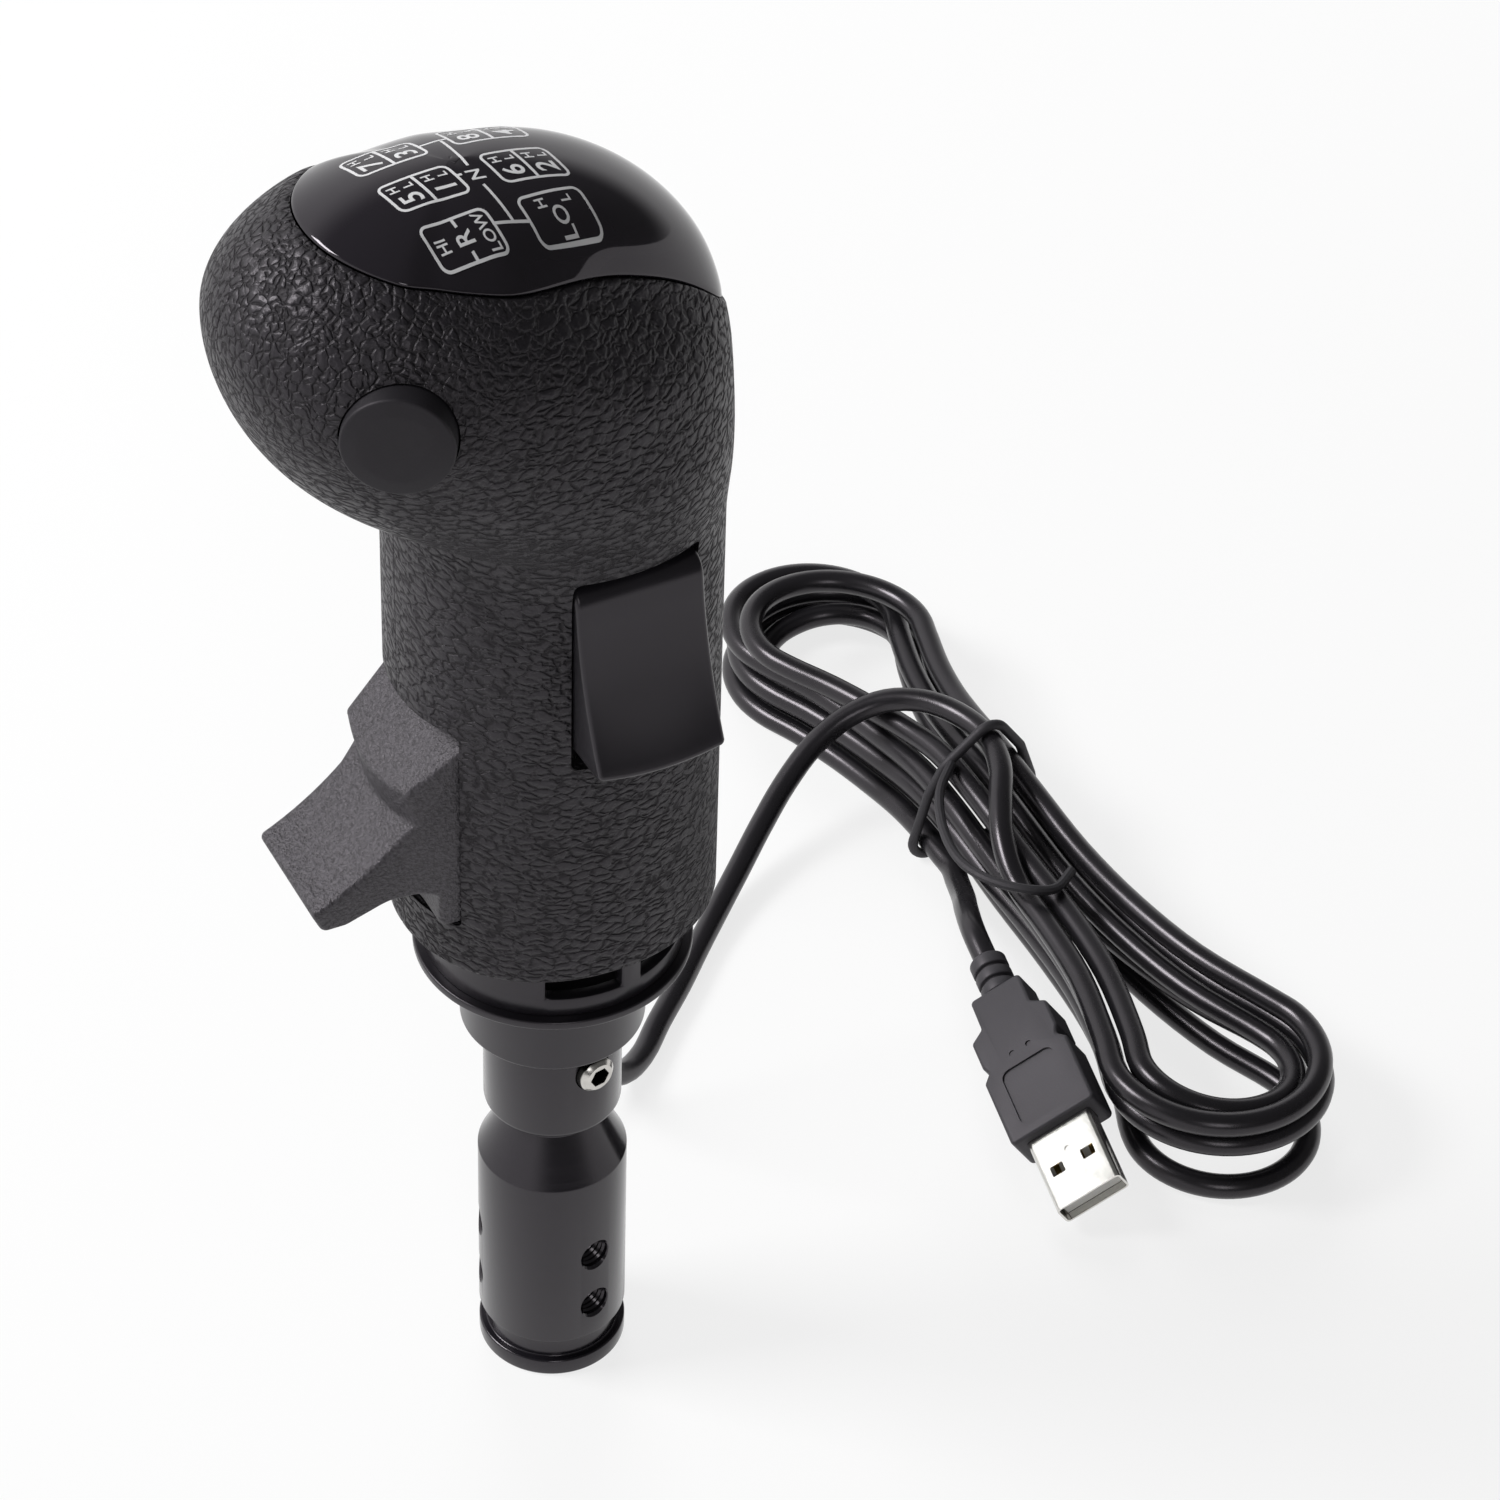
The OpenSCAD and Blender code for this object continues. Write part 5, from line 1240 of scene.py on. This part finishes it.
INDEX_ANGLE = 11.0
CLAMP_PLACES = [out_of_axis(INDEX_ANGLE + turn, z) for turn in (0, 120, 240) for z in (14.3, 25.0)]
ADAPTER_R, BORE_R, BORE_L, WAIST_R, SPIGOT_R, Z_WAIST, Z_SPIGOT = 11.5, 6.25, 38.0, 7.5, 6.0, 51.6, 71.6
CLAMP_HOLE_R, CLAMP_MOUTH_R = 2.5, 3.1
THREAD_FIRST, THREAD_STEP, THREAD_CRESTS, THREAD_HALF = 6.9, 0.8, 5, 0.34
SLEEVE_R, SLEEVE_TOP, SLEEVE_BORE_R, BOLT_BORE_R = 10.55, 82.5, 6.05, 2.55
SET_SCREW_R, SET_SCREW_OUT, SET_SCREW_TIP, HEX_R, HEX_FLOOR = 3.0, 12.1, 6.1, 1.7, 8.4
AT_SET_SCREW = out_of_axis(INDEX_ANGLE, 64.0)


def shaft_adapter():
    r, groove = ADAPTER_R, ADAPTER_R - 1.2
    corners = [(BORE_R, 0), (r, 0), (r, 3.2), (groove, 3.2), (groove, 7.5), (r, 7.5), (r, 41), (WAIST_R, 49),
               (WAIST_R, Z_WAIST), (SPIGOT_R, Z_WAIST), (SPIGOT_R, Z_SPIGOT), (0, Z_SPIGOT), (0, BORE_L),
               (BORE_R, BORE_L)]
    radii = [0.4, 0.6, 0.35, 0.25, 0.25, 0.35, 0.5, 0.4, 0, 0, 0.5, 0, 0, 0.4]
    body = turned("shaft_adapter_turned", softened(corners, radii), 144)
    hole = [(0, 3.0), (CLAMP_HOLE_R, 3.0), (CLAMP_HOLE_R, r - 0.45), (CLAMP_MOUTH_R, r + 0.15),
            (CLAMP_MOUTH_R, r + 3), (0, r + 3)]
    return cut(body, *(turned("clamp_hole", hole, 40, place) for place in CLAMP_PLACES))


def clamp_threads():
    """Thread crests in the clamp holes."""
    root, tip = CLAMP_HOLE_R + 0.02, CLAMP_HOLE_R - 0.28
    depths = [THREAD_FIRST + THREAD_STEP * k for k in range(THREAD_CRESTS)]
    crests = [turned("crest", [(root, d - THREAD_HALF), (tip, d), (root, d + THREAD_HALF)], 28)
              for d in depths]
    places = [(place.translation, place.to_euler("XYZ")) for place in CLAMP_PLACES]
    return repeat("clamp_hole_threads", join("thread_crests", *crests), places, ANODISED)


def clamp_sleeve():
    corners = [(SLEEVE_BORE_R, Z_WAIST), (SLEEVE_R, Z_WAIST), (SLEEVE_R, SLEEVE_TOP),
               (BOLT_BORE_R, SLEEVE_TOP), (BOLT_BORE_R, Z_SPIGOT + 0.1), (SLEEVE_BORE_R, Z_SPIGOT + 0.1)]
    body = turned("clamp_sleeve_turned", softened(corners, [0.3, 1.1, 0.2, 0, 0, 0], 5), 128)
    bore, mouth = SET_SCREW_R + 0.05, SET_SCREW_R + 0.5
    hole = [(0, 5.0), (bore, 5.0), (bore, 10.0), (mouth, 10.6), (mouth, 14), (0, 14)]
    return cut(body, turned("screw_hole", hole, 48, AT_SET_SCREW))


def set_screw():
    r, tip, end = SET_SCREW_R, SET_SCREW_TIP, SET_SCREW_OUT
    corners = [(0, tip), (r - 0.6, tip), (r, tip + 0.6), (r, end - 0.7), (r - 0.75, end), (0, end)]
    screw = turned("set_screw_nickel", softened(corners, [0, 0.1, 0.1, 0.2, 0.15, 0], 3), 64, AT_SET_SCREW)
    return cut(screw, prism("hex_socket", circle(HEX_R, 6), HEX_FLOOR, end + 1.9, AT_SET_SCREW))


BOSS_R, BOSS_BORE_R, BOSS_LOW, FLANGE_R, FLANGE_Z = 14.0, 10.6, 69.5, 20.9, (84.5, 86.0)
SKIRT_R, SKIRT_BORE_R, SKIRT_Z, WINDOW_HALF = 19.5, 17.3, (86.0, 89.4, 95.8, 103.0), 5.85
BAYS, BLANK_BAY = 8, 3


def collar_boss():
    low, high = FLANGE_Z
    corners = [(BOSS_BORE_R, BOSS_LOW), (BOSS_R, BOSS_LOW), (BOSS_R, low), (FLANGE_R, low), (FLANGE_R, high),
               (2.6, high), (2.6, SLEEVE_TOP), (BOSS_BORE_R, SLEEVE_TOP)]
    return turned("collar_boss_flange", softened(corners, [0.3, 0.6, 0.8, 0.35, 0.35, 0, 0, 0]), 144)


def skirt_bay(name, has_window):
    """One bay of the collar's skirt: an opening between two half posts, or a plain wall."""
    bay, half = 360.0 / BAYS, math.degrees(math.asin(WINDOW_HALF / SKIRT_R))
    angles = np.concatenate([[-bay / 2], np.linspace(-half, half, 11), [bay / 2]])
    last, levels = len(angles) - 1, len(SKIRT_Z)
    points = [(*(r * heading(a)[:2]), z) for r in (SKIRT_R, SKIRT_BORE_R) for a in angles for z in SKIRT_Z]
    faces = []

    def wall(*corners):
        """Face on corners of (skin, angle, level), where skin is 0 outside and 1 inside."""
        faces.append([(skin * len(angles) + i) * levels + j for skin, i, j in corners])

    for i in range(last):
        open_here = has_window and 0 < i < last - 1
        for j in range(levels - 1):
            if not (open_here and j == 1):
                for skin in (0, 1):
                    wall((skin, i, j), (skin, i + 1, j), (skin, i + 1, j + 1), (skin, i, j + 1))
        for j in (0, 1, 2, 3) if open_here else (0, 3):
            wall((0, i, j), (0, i + 1, j), (1, i + 1, j), (1, i, j))
    for i in (1, last - 1) if has_window else ():
        wall((0, i, 1), (1, i, 1), (1, i, 2), (0, i, 2))
    return solid(name, points, faces)


def collar_skirt():
    """Seven open bays and the plain one, set round the shaft."""
    turns = [((0, 0, 0), (0, 0, math.radians(GROMMET_ANGLE + 360.0 / BAYS * k))) for k in range(BAYS)]
    blank = [turns.pop(BLANK_BAY)]
    skirt = join("skirt_ring", repeat("skirt_windows", skirt_bay("open_bay", True), turns, SATIN),
                 repeat("skirt_blank", skirt_bay("plain_bay", False), blank, SATIN))
    tidy_mesh(skirt.data, 0.01)
    ease_edges(skirt, 0.35)
    return skirt


dress(shaft_adapter(), ANODISED, "knob", "anodised_black", "shaft_adapter")
dress(clamp_threads(), ANODISED, "knob", "anodised_black")
dress(clamp_sleeve(), ANODISED, "knob", "anodised_black", "clamp_sleeve")
dress(set_screw(), SCREW_NICKEL, "knob", "nickel", "sleeve_set_screw")
base_collar = join("base_collar_windowed", collar_boss(), collar_skirt())
dress(base_collar, SATIN, "knob", "satin_black", "base_collar")


# Cable grommet and the screws of the shells

RELIEF_R, RELIEF_BORE_R, RELIEF_TIP_R, RELIEF_RIBS, RIB_STEP, RIB_DEPTH = 2.9, 2.12, 2.65, 4, 1.7, 0.45


def cable_grommet():
    place = out_of_axis(GROMMET_ANGLE, GROMMET_Z)
    block = prism("grommet_block", round_box(11.5, 6.2, 1.0), GROMMET_IN, SKIRT_R, place)
    root = SKIRT_R - 0.2
    corners = [(RELIEF_BORE_R, root), (RELIEF_R, root)]
    for k in range(RELIEF_RIBS):
        low, wide = root + 0.9 + k * RIB_STEP, RELIEF_R - 0.06 * k
        floor = wide - RIB_DEPTH
        corners += [(wide, low), (floor, low + 0.1), (floor, low + 0.6), (wide, low + 0.7)]
    corners += [(RELIEF_TIP_R, GROMMET_OUT), (RELIEF_BORE_R, GROMMET_OUT)]
    relief = turned("grommet_relief", softened(corners, 0.15, 2), 40, place)
    return join("cable_grommet_ribbed", block, relief)


def shell_screws():
    """Cross-head screws in the right half's wells."""
    corners = [(0, -8.0), (1.5, -8.0), (1.5, 6.0), (2.8, 6.0), (2.8, 7.4), (2.2, 8.2), (0, 8.4)]
    screw = turned("cross_screw", softened(corners, [0, 0.2, 0, 0.2, 0.5, 0.8, 0], 3), 40)
    cut(screw, *(prism("arm", round_box(w, h, 0.2), 7.0, 10.0) for w, h in ((3.2, 0.8), (0.8, 3.2))))
    turn = frame_at((0, 0, 0), (0, 1, 0), (0, 0, -1), (-1, 0, 0)).to_euler("XYZ")
    return repeat("grip_shell_screws", screw, [((0, y, z), turn) for y, z in SCREWS_AT], STEEL)


dress(cable_grommet(), RUBBER, "knob", "cable_jacket", "cable_grommet")
dress(shell_screws(), STEEL, "knob", "steel", "shell_screws")


# CAD nodes that show as they are

KEPT_NODES = {
    "collar_bolt": STEEL, "range_lever_pin": PIN_STEEL, "range_switch": SWITCH, "splitter_pin": PIN_STEEL,
    "splitter_switch": SWITCH, "button_switch": SWITCH, "button_board": BOARD, "controller_board": BOARD,
    "board_screws": PIN_STEEL, "cable_header": INSULATOR, "inner_cable": JACKET, "plug_tongue": INSULATOR,
    "plug_contacts": GOLD,
}
for node_name, finish in KEPT_NODES.items():
    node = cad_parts[node_name]
    for holder in node.material_slots:
        holder.link = "OBJECT"
        holder.material = finish
    if not node.material_slots:
        node.data.materials.append(finish)


# Floor, backdrop and light

FLOOR_HALF, FLOOR_WHITE, FLOOR_SHARE = 4.0, 0.86, 0.78
FLOOR_NEAR, FLOOR_FAR = 0.3, 1.1
DIM_SHARE = 0.12
DIFFUSE_SWEEP = ((0.25, 0.45, 0.86), 0.02, 0.5, 0.5)
MIRRORED_SWEEP = ((0.48, 0.28, 0.83), 0.04, 0.42, 1.0)


def shown_as_background(f):
    """1 where the camera, a reflection or a view through a piece looks at the backdrop, otherwise 0."""
    path = f.node("ShaderNodeLightPath").outputs
    seen = f.math("MAXIMUM", path["Is Camera Ray"], path["Is Glossy Ray"])
    return f.math("MAXIMUM", seen, path["Is Transmission Ray"])


def white_floor():
    """Pale floor that takes shadows near the object and is plain white further off."""
    material = bpy.data.materials.new("white_floor")
    f = Shading(material)
    away = f.vector("LENGTH", f.place, out="Value")
    share = f.span(away, FLOOR_NEAR, FLOOR_FAR, FLOOR_SHARE, 1.0, "LINEAR")
    mix = f.node("ShaderNodeMixShader", Fac=f.math("MULTIPLY", shown_as_background(f), share))
    paper = f.node("ShaderNodeBsdfDiffuse", Color=(FLOOR_WHITE, FLOOR_WHITE, FLOOR_WHITE, 1))
    f.set(mix.inputs[1], paper.outputs[0])
    f.set(mix.inputs[2], f.node("ShaderNodeEmission", Strength=1.0).outputs[0])
    f.nodes.remove(f.nodes["Principled BSDF"])
    f.set(f.nodes["Material Output"].inputs["Surface"], mix.outputs[0])
    h = FLOOR_HALF
    mesh = bpy.data.meshes.new("floor")
    mesh.from_pydata([(-h, -h, 0), (h, -h, 0), (h, h, 0), (-h, h, 0)], [], [(0, 1, 2, 3)])
    mesh.materials.append(material)
    new_object("floor", mesh)


def white_world():
    """White sweep on the lit side, falling off to a dim ceiling; the camera sees plain white all round."""
    scene.world = bpy.data.worlds.new("white_studio")
    f = Shading(scene.world, "Generated")
    sweeps = []
    for dim, start, end, level in (DIFFUSE_SWEEP, MIRRORED_SWEEP):
        lean = f.vector("DOT_PRODUCT", f.place, dim, out="Value")
        sweeps.append(f.span(lean, start, end, level, DIM_SHARE * level))
    lit = f.node("ShaderNodeMix", Factor=shown_as_background(f), A=sweeps[0], B=sweeps[1]).outputs[0]
    camera_ray = f.node("ShaderNodeLightPath").outputs["Is Camera Ray"]
    back = f.nodes["Background"].inputs
    f.set(back["Color"], (1, 1, 1, 1))
    f.set(back["Strength"], f.math("MAXIMUM", lit, camera_ray))


def soft_lamp(name, at, aim, size, watts, mirrored=True):
    lamp_data = bpy.data.lights.new(name, "AREA")
    lamp_data.shape = "RECTANGLE"
    lamp_data.size, lamp_data.size_y = size
    lamp_data.energy = watts
    lamp = new_object(name, lamp_data)
    lamp.location = at
    lamp.rotation_euler = (Vector(aim) - Vector(at)).to_track_quat("-Z", "Y").to_euler()
    lamp.visible_glossy = mirrored


white_floor()
white_world()
soft_lamp("key_softbox", (-0.48, -0.90, 1.02), (0, 0, 0.16), (0.6, 0.42), 18.0)
soft_lamp("rear_softbox", (-0.85, 0.35, 0.75), (0, 0.05, 0.1), (0.5, 0.6), 5.0, mirrored=False)
soft_lamp("side_softbox", (1.0, -0.35, 0.75), (0, 0, 0.12), (0.3, 0.5), 2.0)
